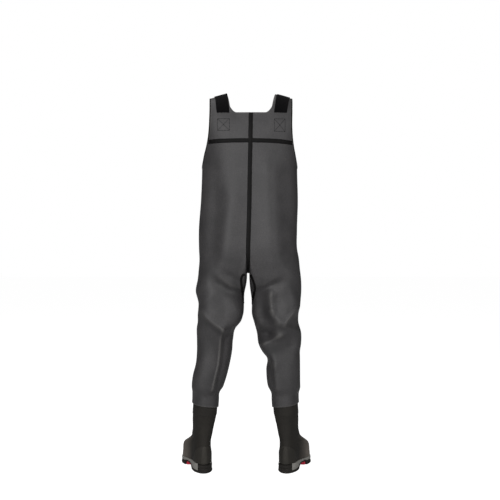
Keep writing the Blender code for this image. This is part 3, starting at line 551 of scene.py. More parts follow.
def back_panel(side, column, height):
    """Points of the back above the armholes, by column and height before the shoulder's roll."""
    start = ring_out(side, column, np.full_like(height, PANEL_BASE))
    goal = np.interp(column, BACK_COLUMNS, BACK_TOP_OUT)
    share = 1 - (1 - np.clip((height - PANEL_BASE) / (PANEL_TOP - PANEL_BASE), 0, 1)) ** PANEL_EASE
    lean = np.interp(column, WING_COLUMNS, WING_LEAN)
    lean = lean * np.clip((height - NECK_CORNER) / (WING_TIP - NECK_CORNER), 0, 1)
    out = start + (goal - start) * share + lean
    y, z = over_shoulder(out, panel_y(side, out, height, 1), height)
    return points(spline(TORSO, height).seam + side * out, y, z)


def front_panel(side, column, height):
    """Points of the bib above the armholes."""
    start = ring_out(side, column, np.full_like(height, PANEL_BASE))
    goal = np.interp(column, FRONT_COLUMNS, FRONT_TOP_OUT)
    share = 1 - (1 - (height - PANEL_BASE) / (BIB_TOP - PANEL_BASE)) ** BIB_EASE
    out = start + (goal - start) * share
    return points(spline(TORSO, height).seam + side * out, panel_y(side, out, height, -1), height)


def armhole_height(column):
    """Top of the closed torso: it dips under the arms and is level where the panels begin."""
    dip = np.clip(1 - (column_angle(column) / math.radians(PANEL_ANGLE)) ** 2, 0, 1)
    return PANEL_BASE - (PANEL_BASE - ARMHOLE_LOW) * dip


def neckline(column):
    """Top of the back between the wings: flat in the middle, with round corners."""
    out = np.interp(column, BACK_COLUMNS, BACK_TOP_OUT)
    share = np.clip((out - NECK_FLAT) / (NECK_SIDE - NECK_FLAT), 0, 1)
    corner = NECK_LOW + (NECK_CORNER - NECK_LOW) * (1 - np.sqrt(1 - share**2))
    return np.where(column <= WING_COLUMNS[-1], NECK_CORNER, corner)


def crotch_curve(side):
    """One edge of the crotch strip from the back seam under to the front seam."""
    section = spline(TORSO, FORK)
    turn = math.pi * np.arange(CROTCH_POINTS + 2) / (CROTCH_POINTS + 1)
    share, sink = oval(turn, CROTCH_POWER)
    y = depth(section, share)
    half = SEAM_HALF + (CROTCH_HALF - SEAM_HALF) * sink
    edge = points(section.seam + side * half, y, FORK - (FORK - CROTCH) * sink)
    edge[0] = torso(side, np.array(float(ALL_COLUMNS[-1])), np.array(FORK))
    edge[-1] = torso(side, np.array(0.0), np.array(FORK))
    return edge


def shaft_section(boot, height, angle, clear):
    """A ring around the boot's shaft, a clear distance outside it."""
    ring = spline(BOOT_RINGS, np.full_like(height, SHAFT_RING))
    lean = np.interp(height, [row.heel_z for row in BOOT_RINGS], [row.lean for row in BOOT_RINGS])
    across, along = oval(angle - abs(boot.toe_out), BOOT_POWER)
    x = (ring.half_width + clear) * across - lean
    y = (ring.heel_y + ring.front_y) / 2 + ((ring.heel_y - ring.front_y) / 2 + clear) * along
    return boot_to_suit(boot, boot.side * x, y)


def boot_to_suit(boot, x, y):
    turn_x = x * math.cos(boot.toe_out) - y * math.sin(boot.toe_out)
    turn_y = x * math.sin(boot.toe_out) + y * math.cos(boot.toe_out)
    return boot.ankle_x + turn_x, ANKLE_Y + turn_y


def fine_columns(columns):
    return np.linspace(columns[0], columns[-1], FINE * (len(columns) - 1) + 1)


def leg_grid(boot):
    """Points of one leg, from the fork and crotch down to the hem: rows of closed rings."""
    side = boot.side
    columns = fine_columns(ALL_COLUMNS)
    outer = torso(side, columns, np.full_like(columns, FORK))
    crotch = crotch_curve(side)[1:-1]
    start = np.concatenate((outer, crotch))
    outer_step = LEG_OUTER_TURN / ALL_COLUMNS[-1]
    inner_step = LEG_INNER_TURN / (CROTCH_POINTS + 1)
    inner = LEG_OUTER_TURN / 2 + inner_step * np.arange(1, CROTCH_POINTS + 1)
    angle = np.radians(np.concatenate((outer_step * columns - LEG_OUTER_TURN / 2, inner)))
    hem = HEM_MID + HEM_TILT * BALL_HALF * np.cos(angle)
    t = np.linspace(0, 1, LEG_ROWS + 1)[:, None]
    z = start[:, 2] + (hem - start[:, 2]) * t
    section = spline(LEGS[side], z)
    across, along = oval(angle, LEG_POWER)
    x = side * ((section.outer + section.inner) / 2 + (section.outer - section.inner) / 2 * across)
    y = depth(section, along)
    y = folded(x, y, z, along + 0 * z)
    near = smooth((HEM_BLEND_TOP - z) / (HEM_BLEND_TOP - HEM_BLEND_LOW))
    shaft_x, shaft_y = shaft_section(boot, z, angle, SUIT_WALL + HEM_CLEAR)
    x = x + (shaft_x - x) * near
    y = y + (shaft_y - y) * near
    share = smooth(t / LEG_BLEND)
    carried = torso(side, columns, np.maximum(z[:, :len(columns)], TORSO[0].height))
    start = np.concatenate((carried, np.broadcast_to(crotch, (LEG_ROWS + 1, *crotch.shape))), axis=1)
    x = start[..., 0] + (x - start[..., 0]) * share
    y = start[..., 1] + (y - start[..., 1]) * share
    return points(x, y, z)


def column_grid(patch, side, columns, tops, base, rows):
    """Points of a patch whose columns run from a base height to their own top."""
    share = np.linspace(0, 1, rows + 1)[:, None]
    column = np.broadcast_to(columns, (rows + 1, len(columns)))
    return patch(side, column, base + (np.broadcast_to(tops, len(columns)) - base) * share)


def torso_grid(side):
    columns = fine_columns(ALL_COLUMNS)
    return column_grid(torso, side, columns, armhole_height(columns), FORK, TORSO_ROWS)


def back_grid(side):
    columns = fine_columns(BACK_COLUMNS)
    return column_grid(back_panel, side, columns, neckline(columns), PANEL_BASE, BACK_ROWS)


def wing_grid(side):
    return column_grid(back_panel, side, fine_columns(WING_COLUMNS), WING_TIP, NECK_CORNER, WING_ROWS)


def front_grid(side):
    return column_grid(front_panel, side, fine_columns(FRONT_COLUMNS), BIB_TOP, PANEL_BASE, FRONT_ROWS)


def metres(grid):
    return (np.asarray(grid) + FRAME_SHIFT) * MM


def grid_lengths(grid, axis):
    """Mean distance along a grid in metres, for its texture coordinates."""
    steps = np.linalg.norm(np.diff(grid, axis=axis), axis=-1).mean(axis=1 - axis)
    return np.concatenate(((0.0,), np.cumsum(steps))) * MM


def add_patch(mesh, grid, closed=False):
    """Adds a grid of points as faces between its rows, with texture coordinates in metres."""
    if closed:
        grid = np.concatenate((grid, grid[:, :1]), axis=1)
    across = grid_lengths(grid, 1)
    along = grid_lengths(grid, 0)
    layer = mesh.loops.layers.uv.verify()
    rows = [[mesh.verts.new(point) for point in row] for row in metres(grid)]
    for r, (lower, upper) in enumerate(zip(rows, rows[1:])):
        for c in range(len(lower) - 1):
            face = mesh.faces.new((lower[c], lower[c + 1], upper[c + 1], upper[c]))
            corners = ((c, r), (c + 1, r), (c + 1, r + 1), (c, r + 1))
            for loop, (u, v) in zip(face.loops, corners):
                loop[layer].uv = (across[u], along[v])


def finish_mesh(name, mesh, sharp=SHARP):
    """Joins the patches' shared edges, turns the faces out and makes the mesh."""
    bmesh.ops.remove_doubles(mesh, verts=mesh.verts, dist=WELD)
    bmesh.ops.recalc_face_normals(mesh, faces=mesh.faces)
    data = bpy.data.meshes.new(name)
    mesh.to_mesh(data)
    mesh.free()
    data.shade_smooth()
    data.set_sharp_from_angle(angle=math.radians(sharp))
    return data


def add_object(name, data):
    made = bpy.data.objects.new(name, data)
    bpy.context.scene.collection.objects.link(made)
    return made


def add_piece(name, data, materials, slot, *nodes):
    """Adds a piece of the waders in place of its CAD nodes."""
    for material in materials:
        data.materials.append(material)
    made = add_object(name, data)
    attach(made, "root")
    if nodes:
        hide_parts(*nodes)
    return made


def add_wall(piece, thickness):
    """Gives a piece's surface a wall inwards, with the second material inside."""
    wall = piece.modifiers.new("wall", "SOLIDIFY")
    wall.thickness = thickness * MM
    wall.offset = -1.0
    wall.material_offset = 1


def sweep(mesh, sections):
    """Adds a closed band through sections of equal point count."""
    add_patch(mesh, sections, closed=True)
    mesh.verts.ensure_lookup_table()
    count = len(sections[0]) + 1
    mesh.faces.new(mesh.verts[-count:-1])
    first = len(mesh.verts) - count * len(sections)
    mesh.faces.new(mesh.verts[first:first + count - 1])


# Materials: sizes of their patterns in millimetres. Real wales, courses, loops, cords and weaves are finer:
# they are drawn as coarse as they need to show
WALE = 1.6
COURSE = 1.3
MOTTLE = 70
SPECKLE = 4
LINING_LOOP = 2.2
TAPE_WEAVE = 1.2
TAPE_SCUFF = 30
ELASTIC_CORD = 2.2
ELASTIC_THREAD = 1.4
THREAD_TWIST = 1.5
RUBBER_BLOOM = 50
FELT_FIBRE = 2

# The bands of a wave texture of scale 1 lie this far apart
WAVE_PERIOD = 0.314

# Painted highlight on the neoprene's raised folds and painted shade in its troughs: where they lie, by how
# far its surface bends out (over 0.5) or in, and how much
CREST_BEND = (0.512, 0.55)
CREST_PAINTED_HIGHLIGHT = 0.48
TROUGH_BEND = (0.49, 0.455)
TROUGH_PAINTED_SHADE = 0.7

# Painted highlight on the boots' forefeet, laid as a pale film, in metres: from where it begins to where it
# is full, going forward and going down
FOREFOOT_LIGHT_FORWARD = (0.06, -0.07)
FOREFOOT_LIGHT_DOWN = (0.17, 0.09)
FOREFOOT_LIGHT_PATCHES = (0.35, 0.65)
FOREFOOT_LIGHT_THINNEST = 0.72
FOREFOOT_LIGHT_MOST = 0.9

# How far the bloom on rubber changes its roughness down and up
BLOOM_SMOOTHER = 0.07
BLOOM_ROUGHER = 0.1


def linear(code):
    """Linear colour of an sRGB hex code."""
    channels = [int(code[i:i + 2], 16) / 255 for i in (1, 3, 5)]
    return tuple(c / 12.92 if c <= 0.04045 else ((c + 0.055) / 1.055) ** 2.4 for c in channels) + (1.0,)


def per_metre(size):
    """A pattern's scale from its real size in millimetres."""
    return 1 / (size * MM)


def set_inputs(tree, node, inputs):
    """Sets inputs of a node; each is a value or the socket that feeds it."""
    for socket, value in inputs.items():
        if isinstance(value, bpy.types.NodeSocket):
            tree.links.new(value, node.inputs[socket])
        else:
            node.inputs[socket].default_value = value


def add_node(tree, kind, inputs=(), stops=(), **settings):
    """Adds a node with its settings, its inputs and, for a colour ramp, its stops of place and hex code."""
    made = tree.nodes.new(kind)
    for name, value in settings.items():
        setattr(made, name, value)
    for index, (place, code) in enumerate(stops):
        made.color_ramp.elements[index].position = place
        made.color_ramp.elements[index].color = linear(code)
    set_inputs(tree, made, dict(inputs))
    return made


def new_material(name):
    """A material of one Principled shader, with its tree and that shader."""
    made = bpy.data.materials.new(name)
    made.use_nodes = True
    return made, made.node_tree, made.node_tree.nodes["Principled BSDF"]


def jersey_neoprene():
    """Foam rubber with a bonded nylon jersey: a soft, almost matt charcoal with fine wales and faint
    mottling, with a painted highlight on the raised folds and painted shade in the troughs."""
    made, tree, shader = new_material("jersey_faced_neoprene")
    place = add_node(tree, "ShaderNodeTexCoord").outputs
    wales = add_node(
        tree, "ShaderNodeTexWave", bands_direction="X",
        inputs={"Vector": place["UV"], "Scale": WAVE_PERIOD * per_metre(WALE), "Distortion": 0.4},
    ).outputs["Fac"]
    courses = add_node(
        tree, "ShaderNodeTexWave", bands_direction="Y",
        inputs={"Vector": place["UV"], "Scale": WAVE_PERIOD * per_metre(COURSE), "Distortion": 0.6},
    ).outputs["Fac"]
    knit = add_node(tree, "ShaderNodeMath", {0: wales, 1: courses}, operation="MULTIPLY").outputs[0]
    mottle = add_node(
        tree, "ShaderNodeTexNoise", {"Vector": place["Object"], "Scale": per_metre(MOTTLE), "Detail": 4.0}
    ).outputs["Fac"]
    speckle = add_node(
        tree, "ShaderNodeTexNoise", {"Vector": place["Object"], "Scale": per_metre(SPECKLE), "Detail": 3.0}
    ).outputs["Fac"]
    mixed = add_node(tree, "ShaderNodeMath", {0: mottle, 1: speckle}, operation="MULTIPLY").outputs[0]
    tint = add_node(tree, "ShaderNodeValToRGB", {"Fac": mixed}, stops=((0.12, "#323132"), (0.42, "#413f40")))
    colour = tint.outputs["Color"]
    bend = add_node(tree, "ShaderNodeNewGeometry").outputs["Pointiness"]
    # Painted highlight on the crests and painted shade in the troughs, laid by the surface's pointiness
    for span, most, code in ((CREST_BEND, CREST_PAINTED_HIGHLIGHT, "#575553"), (TROUGH_BEND, TROUGH_PAINTED_SHADE, "#222122")):
        share = add_node(
            tree, "ShaderNodeMapRange",
            {"Value": bend, "From Min": span[0], "From Max": span[1], "To Max": most},
        ).outputs["Result"]
        colour = add_node(
            tree, "ShaderNodeMix", {"Factor": share, 6: colour, 7: linear(code)}, data_type="RGBA"
        ).outputs[2]
    dull = add_node(tree, "ShaderNodeMapRange", {"Value": mottle, "To Min": 0.52, "To Max": 0.62})
    bump = add_node(tree, "ShaderNodeBump", {"Height": knit, "Strength": 0.25, "Distance": 0.3 * MM})
    set_inputs(tree, shader, {
        "Base Color": colour,
        "Roughness": dull.outputs["Result"],
        "Normal": bump.outputs["Normal"],
        "IOR": 1.5,
    })
    return made


def knitted_lining():
    """Brushed polyester knit inside the shell: darker than the face, with a soft nap and no gloss."""
    made, tree, shader = new_material("knitted_polyester_lining")
    place = add_node(tree, "ShaderNodeTexCoord").outputs["UV"]
    loops = add_node(tree, "ShaderNodeTexVoronoi", {"Vector": place, "Scale": per_metre(LINING_LOOP)})
    loops = loops.outputs["Distance"]
    tint = add_node(tree, "ShaderNodeValToRGB", {"Fac": loops}, stops=((0, "#2b2a2b"), (1, "#1d1c1d")))
    bump = add_node(tree, "ShaderNodeBump", {"Height": loops, "Strength": 0.3, "Distance": 0.5 * MM})
    set_inputs(tree, shader, {
        "Base Color": tint.outputs["Color"],
        "Roughness": 0.92,
        "Normal": bump.outputs["Normal"],
        "Sheen Weight": 0.2,
        "Specular IOR Level": 0.2,
    })
    return made


def bonded_tape():
    """Melt-bonded polyurethane tape: smooth black with a dull gloss, its woven backing faintly showing."""
    made, tree, shader = new_material("bonded_polyurethane_tape")
    place = add_node(tree, "ShaderNodeTexCoord").outputs
    weave = add_node(tree, "ShaderNodeTexChecker", {"Vector": place["UV"], "Scale": per_metre(TAPE_WEAVE)})
    scuff = add_node(
        tree, "ShaderNodeTexNoise", {"Vector": place["Object"], "Scale": per_metre(TAPE_SCUFF), "Detail": 5.0}
    ).outputs["Fac"]
    tint = add_node(tree, "ShaderNodeValToRGB", {"Fac": scuff}, stops=((0, "#080707"), (1, "#0f0e0e")))
    dull = add_node(tree, "ShaderNodeMapRange", {"Value": scuff, "To Min": 0.5, "To Max": 0.68})
    bump = add_node(
        tree, "ShaderNodeBump", {"Height": weave.outputs["Fac"], "Strength": 0.1, "Distance": 0.2 * MM}
    )
    set_inputs(tree, shader, {
        "Base Color": tint.outputs["Color"],
        "Roughness": dull.outputs["Result"],
        "Normal": bump.outputs["Normal"],
        "IOR": 1.5,
        "Specular IOR Level": 0.13,
    })
    return made


def woven_elastic():
    """Woven polyester elastic: deep black with lengthwise cords and fine cross threads, almost no gloss."""
    made, tree, shader = new_material("woven_elastic_webbing")
    place = add_node(tree, "ShaderNodeTexCoord").outputs["UV"]
    cords, threads = (
        add_node(
            tree, "ShaderNodeTexWave", {"Vector": place, "Scale": WAVE_PERIOD * per_metre(pitch)},
            bands_direction=direction,
        ).outputs["Fac"]
        for pitch, direction in ((ELASTIC_CORD, "X"), (ELASTIC_THREAD, "Y"))
    )
    weave = add_node(tree, "ShaderNodeMath", {0: cords, 1: threads}, operation="MULTIPLY").outputs[0]
    tint = add_node(tree, "ShaderNodeValToRGB", {"Fac": weave}, stops=((0, "#060506"), (1, "#0e0d0e")))
    bump = add_node(tree, "ShaderNodeBump", {"Height": weave, "Strength": 0.5, "Distance": 0.6 * MM})
    set_inputs(tree, shader, {
        "Base Color": tint.outputs["Color"],
        "Roughness": 0.85,
        "Normal": bump.outputs["Normal"],
        "Sheen Weight": 0.02,
        "Specular IOR Level": 0.08,
    })
    return made


def spun_thread():
    """Spun polyester sewing thread: black, dull, with a twist along it."""
    made, tree, shader = new_material("spun_polyester_thread")
    spot = add_node(tree, "ShaderNodeTexCoord").outputs["Object"]
    twist = add_node(tree, "ShaderNodeTexNoise", {"Vector": spot, "Scale": per_metre(THREAD_TWIST)})
    tint = add_node(
        tree, "ShaderNodeValToRGB", {"Fac": twist.outputs["Fac"]}, stops=((0, "#0b0a0b"), (1, "#151415"))
    )
    set_inputs(tree, shader, {
        "Base Color": tint.outputs["Color"],
        "Roughness": 0.8,
        "Specular IOR Level": 0.3,
    })
    return made


def painted_forefoot_light(tree, colour, spot, patches, most_lit):
    """A colour under a pale film laid in patches over a boot's forefoot: a painted highlight for the light on
    it.
    """
    part = add_node(tree, "ShaderNodeSeparateXYZ", {0: spot}).outputs
    forward, down = (
        add_node(
            tree, "ShaderNodeMapRange", interpolation_type="SMOOTHSTEP",
            inputs={"Value": part[axis], "From Min": span[0], "From Max": span[1], "To Max": most},
        ).outputs["Result"]
        for axis, span, most in (("Y", FOREFOOT_LIGHT_FORWARD, most_lit), ("Z", FOREFOOT_LIGHT_DOWN, 1.0))
    )
    thin, full = FOREFOOT_LIGHT_PATCHES
    patchy = add_node(
        tree, "ShaderNodeMapRange",
        {"Value": patches, "From Min": thin, "From Max": full, "To Min": FOREFOOT_LIGHT_THINNEST},
    ).outputs["Result"]
    lit_area = add_node(tree, "ShaderNodeMath", {0: forward, 1: down}, operation="MULTIPLY").outputs[0]
    lit_film = add_node(tree, "ShaderNodeMath", {0: lit_area, 1: patchy}, operation="MULTIPLY").outputs[0]
    return add_node(
        tree, "ShaderNodeMix", {"Factor": lit_film, 6: colour, 7: linear("#8f867e")}, data_type="RGBA"
    ).outputs[2]


def moulded_rubber(name, dark, pale, grain, roughness, forefoot_light=0.0):
    """Rubber or foam from a sandblasted mould: a fine grain, a dull satin and a faint grey bloom."""
    made, tree, shader = new_material(name)
    spot = add_node(tree, "ShaderNodeTexCoord").outputs["Object"]
    bloom = add_node(
        tree, "ShaderNodeTexNoise", {"Vector": spot, "Scale": per_metre(RUBBER_BLOOM), "Detail": 5.0}
    ).outputs["Fac"]
    grit = add_node(tree, "ShaderNodeTexNoise", {"Vector": spot, "Scale": per_metre(grain), "Detail": 2.0})
    tint = add_node(tree, "ShaderNodeValToRGB", {"Fac": bloom}, stops=((0.3, dark), (0.75, pale)))
    colour = tint.outputs["Color"]
    # A painted highlight over the forefoot, laid as a pale film
    if forefoot_light:
        colour = painted_forefoot_light(tree, colour, spot, bloom, forefoot_light)
    dull = add_node(
        tree, "ShaderNodeMapRange",
        {"Value": bloom, "To Min": roughness - BLOOM_SMOOTHER, "To Max": roughness + BLOOM_ROUGHER},
    )
    bump = add_node(
        tree, "ShaderNodeBump", {"Height": grit.outputs["Fac"], "Strength": 0.2, "Distance": 0.4 * MM}
    )
    set_inputs(tree, shader, {
        "Base Color": colour,
        "Roughness": dull.outputs["Result"],
        "Normal": bump.outputs["Normal"],
        "IOR": 1.52,
        "Specular IOR Level": 0.3,
    })
    return made


def felt_insole():
    """Needled felt: dark grey with tangled fibres and no gloss."""
    made, tree, shader = new_material("needled_felt")
    spot = add_node(tree, "ShaderNodeTexCoord").outputs["Object"]
    fibre = add_node(
        tree, "ShaderNodeTexNoise",
        {"Vector": spot, "Scale": per_metre(FELT_FIBRE), "Detail": 6.0, "Distortion": 1.5},
    )
    tint = add_node(
        tree, "ShaderNodeValToRGB", {"Fac": fibre.outputs["Fac"]}, stops=((0, "#2a2a2a"), (1, "#4a4a4a"))
    )
    set_inputs(tree, shader, {"Base Color": tint.outputs["Color"], "Roughness": 0.95, "Sheen Weight": 0.3})
    return made


NEOPRENE = jersey_neoprene()
LINING = knitted_lining()
TAPE = bonded_tape()
ELASTIC = woven_elastic()
THREAD = spun_thread()
INSOLE_FELT = felt_insole()

# Vulcanised rubber: near black; the counters and their middle bands are paler copies of it, a painted
# highlight that makes them show
# The boot rubber carries a painted highlight over its forefoot
BOOT_RUBBER = moulded_rubber("moulded_boot_rubber", "#201e1b", "#2c2925", 1.2, 0.78, FOREFOOT_LIGHT_MOST)
LIT_COUNTER_RUBBER = moulded_rubber("counter_rubber_painted_highlight", "#282622", "#33302c", 1.2, 0.72)
LIT_SPINE_RUBBER = moulded_rubber("counter_spine_painted_highlight", "#302e2a", "#3d3a35", 1.2, 0.7)
SOLE_RUBBER = moulded_rubber("carbon_sole_rubber", "#211f1c", "#2c2926", 1.5, 0.75)

# Moulded foam: pale grey with a coarser skin. Thermoplastic rubber: bright red with more gloss
MIDSOLE_FOAM = moulded_rubber("moulded_eva_foam", "#8e8c87", "#9a9893", 2.5, 0.75)
INSERT_RUBBER = moulded_rubber("red_thermoplastic_rubber", "#d02540", "#e5364f", 2.0, 0.4)


# Suit


def suit_surface():
    """The outer face of the suit as one open surface."""
    mesh = bmesh.new()
    add_patch(mesh, np.concatenate((torso_grid(1), torso_grid(-1)[:, ::-1]), axis=1), closed=True)
    add_patch(mesh, np.concatenate((back_grid(1), back_grid(-1)[:, ::-1]), axis=1))
    add_patch(mesh, np.concatenate((front_grid(1)[:, ::-1], front_grid(-1)), axis=1))
    for boot in BOOTS:
        add_patch(mesh, wing_grid(boot.side))
        add_patch(mesh, leg_grid(boot), closed=True)
    add_patch(mesh, np.stack((crotch_curve(1), crotch_curve(-1))))
    return finish_mesh("suit_surface", mesh, SUIT_SHARP)


def add_shell(surface):
    nodes = ("neoprene_torso", "neoprene_leg_left", "neoprene_leg_right")
    shell = add_piece("neoprene_shell", surface.copy(), (NEOPRENE, LINING), "grey_neoprene", *nodes)
    add_wall(shell, SUIT_WALL)


def seen_from_behind(tree, x, z):
    """Places on the suit's back and their outward directions, by x and height in millimetres."""
    found = []
    for px, pz in zip(np.ravel(x), np.ravel(z)):
        start = Vector(metres((px, BEHIND, pz)))
        place, face, _, _ = tree.ray_cast(start, Vector((0, -1, 0)))
        if place is None:
            place, face, _, _ = tree.find_nearest(Vector(metres((px, 0.0, pz))))
        found.append((np.array(place) / MM - FRAME_SHIFT, np.array(face)))
    spots = np.array([spot for spot, _ in found])
    faces = np.array([face for _, face in found])
    faces = faces * np.where(faces[:, 1:2] < 0, -1, 1)
    return spots.reshape(*np.shape(x), 3), faces.reshape(*np.shape(x), 3)


# Across a tape: share of its half width and share of its thickness, from edge to edge
TapeStep = namedtuple("TapeStep", "across rise")
TAPE_STEPS = table(
    TapeStep,
    (-1.0, 0.0), (-0.97, 0.7), (-0.9, 1.0), (0.0, 1.0), (0.9, 1.0), (0.97, 0.7), (1.0, 0.0),
)


def tape_lift(step):
    """How far a tape's step stands off the suit; its edges are just under the surface."""
    return step.rise * (TAPE_THICK + TAPE_SINK) - TAPE_SINK


def tape_grid(middle, aside, face, half):
    """Points of a tape along a line on the suit."""
    rows = [middle + aside * step.across * half + face * tape_lift(step) for step in TAPE_STEPS]
    return np.stack(rows, axis=1)


def add_tape(name, grid, node):
    mesh = bmesh.new()
    add_patch(mesh, grid)
    add_piece(name, finish_mesh(name, mesh), (TAPE,), "black_seam_tape", node)


def line_frames(line):
    """Unit directions along a line of points."""
    return unit(np.gradient(line, axis=0))


def add_centre_tape():
    heights = np.linspace(NECK_LOW - NECK_TAPE_GAP, FORK, CENTRE_TAPE_ROWS)
    seam = spline(TORSO, heights).seam
    back = points(seam, panel_y(1, np.full_like(heights, SEAM_HALF), heights, 1), heights)
    edges = crotch_curve(1), crotch_curve(-1)
    under = ((edges[0] + edges[1]) / 2)[1:CROTCH_POINTS // 2 + 1]
    line = np.concatenate((back, under))
    run = line_frames(line)
    aside = unit(np.array((1.0, 0.0, 0.0)) - run * run[:, :1])
    face = np.cross(run, aside)
    face = face * np.sign(face[:1, 1:2])
    strip = np.abs(edges[0] - edges[1])[1:CROTCH_POINTS // 2 + 1, 0] / 2
    half = np.concatenate((np.full(len(back), CENTRE_TAPE_HALF), np.minimum(strip, CENTRE_TAPE_HALF)))
    add_tape("seam_tape_centre", tape_grid(line, aside, face, half[:, None]), "centre_back_tape")


def add_yoke_tape(boot):
    seam = float(spline(TORSO, YOKE_HEIGHT).seam)
    edge = abs(back_panel(boot.side, np.array(float(BACK_COLUMNS[0])), np.array(YOKE_HEIGHT))[0] - seam)
    out = np.linspace(CENTRE_TAPE_HALF - YOKE_TAPE_LAP, edge - YOKE_TAPE_GAP, SIDE_TAPE_ROWS)
    height = YOKE_HEIGHT - YOKE_DROP[boot.side] * (out / edge) ** 2
    line = points(seam + boot.side * out, panel_y(boot.side, out, height, 1), height)
    run = line_frames(line)
    face = np.cross(run, (0.0, 0.0, 1.0))
    face = face * np.sign(face[:, 1:2])
    aside = np.broadcast_to((0.0, 0.0, 1.0), line.shape)
    grid = tape_grid(line, aside, face, YOKE_HALF)
    add_tape(f"seam_tape_yoke_{boot.name}", grid, f"yoke_tape_{boot.name}")


def add_gusset_tape(boot, tree):
    edge = GUSSETS[boot.side]
    path = spline(edge, np.linspace(0, edge[-1].step, SIDE_TAPE_ROWS))
    line = np.stack((boot.side * path.reach, path.height), -1)
    run = line_frames(line)
    across = np.array([tape.across for tape in TAPE_STEPS]) * GUSSET_TAPE_HALF
    x = line[:, :1] - run[:, 1:] * across
    z = line[:, 1:] + run[:, :1] * across
    spots, faces = seen_from_behind(tree, x, z)
    grid = spots + faces * np.array([tape_lift(tape) for tape in TAPE_STEPS])[:, None]
    add_tape(f"seam_tape_gusset_{boot.name}", grid, f"gusset_tape_{boot.name}")


def armhole_edge(side):
    """The armhole's edge from the wing's tip round to the bib's corner, and the points just inside it."""
    wing, back, ring, front = wing_grid(side), back_grid(side), torso_grid(side), front_grid(side)
    under = np.arange(FINE * BACK_COLUMNS[0], FINE * FRONT_COLUMNS[-1] - 1, -1)
    beside = under.copy()
    beside[0] += 1
    beside[-1] -= 1
    edge = np.concatenate((wing[::-1, 0], back[-2:0:-1, 0], ring[-1, under], front[1:, -1]))
    inside = np.concatenate((wing[::-1, 1], back[-2:0:-1, 1], ring[-2, beside], front[1:, -2]))
    return edge, inside


def add_armhole_binding(surface, boot):
    """A folded tape over the armhole's edge."""
    edge, inside = armhole_edge(boot.side)
    corners = np.array([vert.co for vert in surface.vertices])
    nearest = [np.argmin(np.sum((corners - place) ** 2, axis=1)) for place in metres(edge)]
    face = np.array([surface.vertices[index].normal for index in nearest])
    run = line_frames(edge)
    out = edge - inside
    out = unit(out - run * np.sum(out * run, axis=1)[:, None])
    lip = edge - out * BINDING_WIDTH
    near, far = BINDING_CLEAR, BINDING_CLEAR + BINDING_THICK
    soft = far * BINDING_SOFT
    sections = (
        lip + face * (near - TAPE_SINK),
        lip + face * soft,
        edge + face * far,
        edge + face * far / 2 + out * soft,
        edge - face * SUIT_WALL / 2 + out * far,
        edge - face * (SUIT_WALL + far / 2) + out * soft,
        edge - face * (SUIT_WALL + far),
        lip - face * (SUIT_WALL + soft),
        lip - face * (SUIT_WALL + near - TAPE_SINK),
        edge - face * (SUIT_WALL + near) + out * near,
        edge + face * near + out * near,
    )
    mesh = bmesh.new()
    sweep(mesh, np.stack(sections, axis=1))
    name = f"armhole_binding_tape_{boot.name}"
    data = finish_mesh(name, mesh, BINDING_SHARP)
    add_piece(name, data, (TAPE,), "black_seam_tape", f"armhole_binding_{boot.name}")


def strap_line(place, share, lift):
    """Points along the strap at one place across its width, on a face that is lifted off the suit."""
    _, level = over_shoulder(place.low + share * STRAP_WIDTH / 2, 0.0, STRAP_LOW)
    low_end = 2 * STRAP_LOW - float(level)
    heights = np.linspace(low_end, ROLL_START + ROLL_RADIUS * STRAP_BACK_TURN, STRAP_BACK_ROWS)
    top = ROLL_START + ROLL_RADIUS * math.pi / 2
    middle = place.low + (place.top - place.low) * np.clip((heights - STRAP_LOW) / (top - STRAP_LOW), 0, 1)
    out = middle + share * STRAP_WIDTH / 2
    turn = np.clip((heights - ROLL_START) / ROLL_RADIUS, 0, None)
    y, z = over_shoulder(out, panel_y(place.side, out, heights, 1), heights)
    over = np.stack((out, y + lift * np.cos(turn), z + lift * np.sin(turn)), -1)
    front = np.full(STRAP_LAP_ROWS, STRAP_FRONT_OUT + share * STRAP_WIDTH / 2)
    low = np.linspace(BIB_TOP, BIB_TOP - STRAP_FRONT_LAP, STRAP_LAP_ROWS)
    lap = np.stack((front, panel_y(place.side, front, low, -1) - lift, low), -1)
    t = np.linspace(0, 1, STRAP_DROP_ROWS + 2)[1:-1, None]
    length = np.linalg.norm(lap[0] - over[-1])
    leave, arrive = unit(over[-1] - over[-2]) * length, unit(lap[1] - lap[0]) * length
    drop = curve(t, over[-1], leave, lap[0], arrive)
    line = np.concatenate((over, drop, lap))
    seam = spline(TORSO, np.minimum(line[:, 2], BIB_TOP + ROLL_RADIUS)).seam
    line[:, 0] = seam + place.side * line[:, 0]
    return line


# Across a strap: share of its half width, and share of its thickness
StrapCorner = namedtuple("StrapCorner", "across rise")
STRAP_CORNERS = table(
    StrapCorner,
    (-0.98, 0.0), (0.0, 0.0), (0.98, 0.0), (1.0, 0.3), (1.0, 0.7), (0.98, 1.0), (0.9, 1.0),
    (0.88, STRAP_HOLLOW), (0.4, STRAP_HOLLOW), (0.0, STRAP_HOLLOW), (-0.4, STRAP_HOLLOW),
    (-0.88, STRAP_HOLLOW), (-0.9, 1.0), (-0.98, 1.0), (-1.0, 0.7), (-1.0, 0.3),
)


def add_strap(place):
    """A flat elastic strap with corded edges, from the back over the shoulder to the bib."""
    lines = [strap_line(place, c.across, STRAP_CLEAR + c.rise * STRAP_THICK) for c in STRAP_CORNERS]
    mesh = bmesh.new()
    sweep(mesh, np.stack(lines, axis=1))
    name = f"elastic_strap_{place.name}"
    add_piece(name, finish_mesh(name, mesh), (ELASTIC,), "black_elastic", f"shoulder_strap_{place.name}")


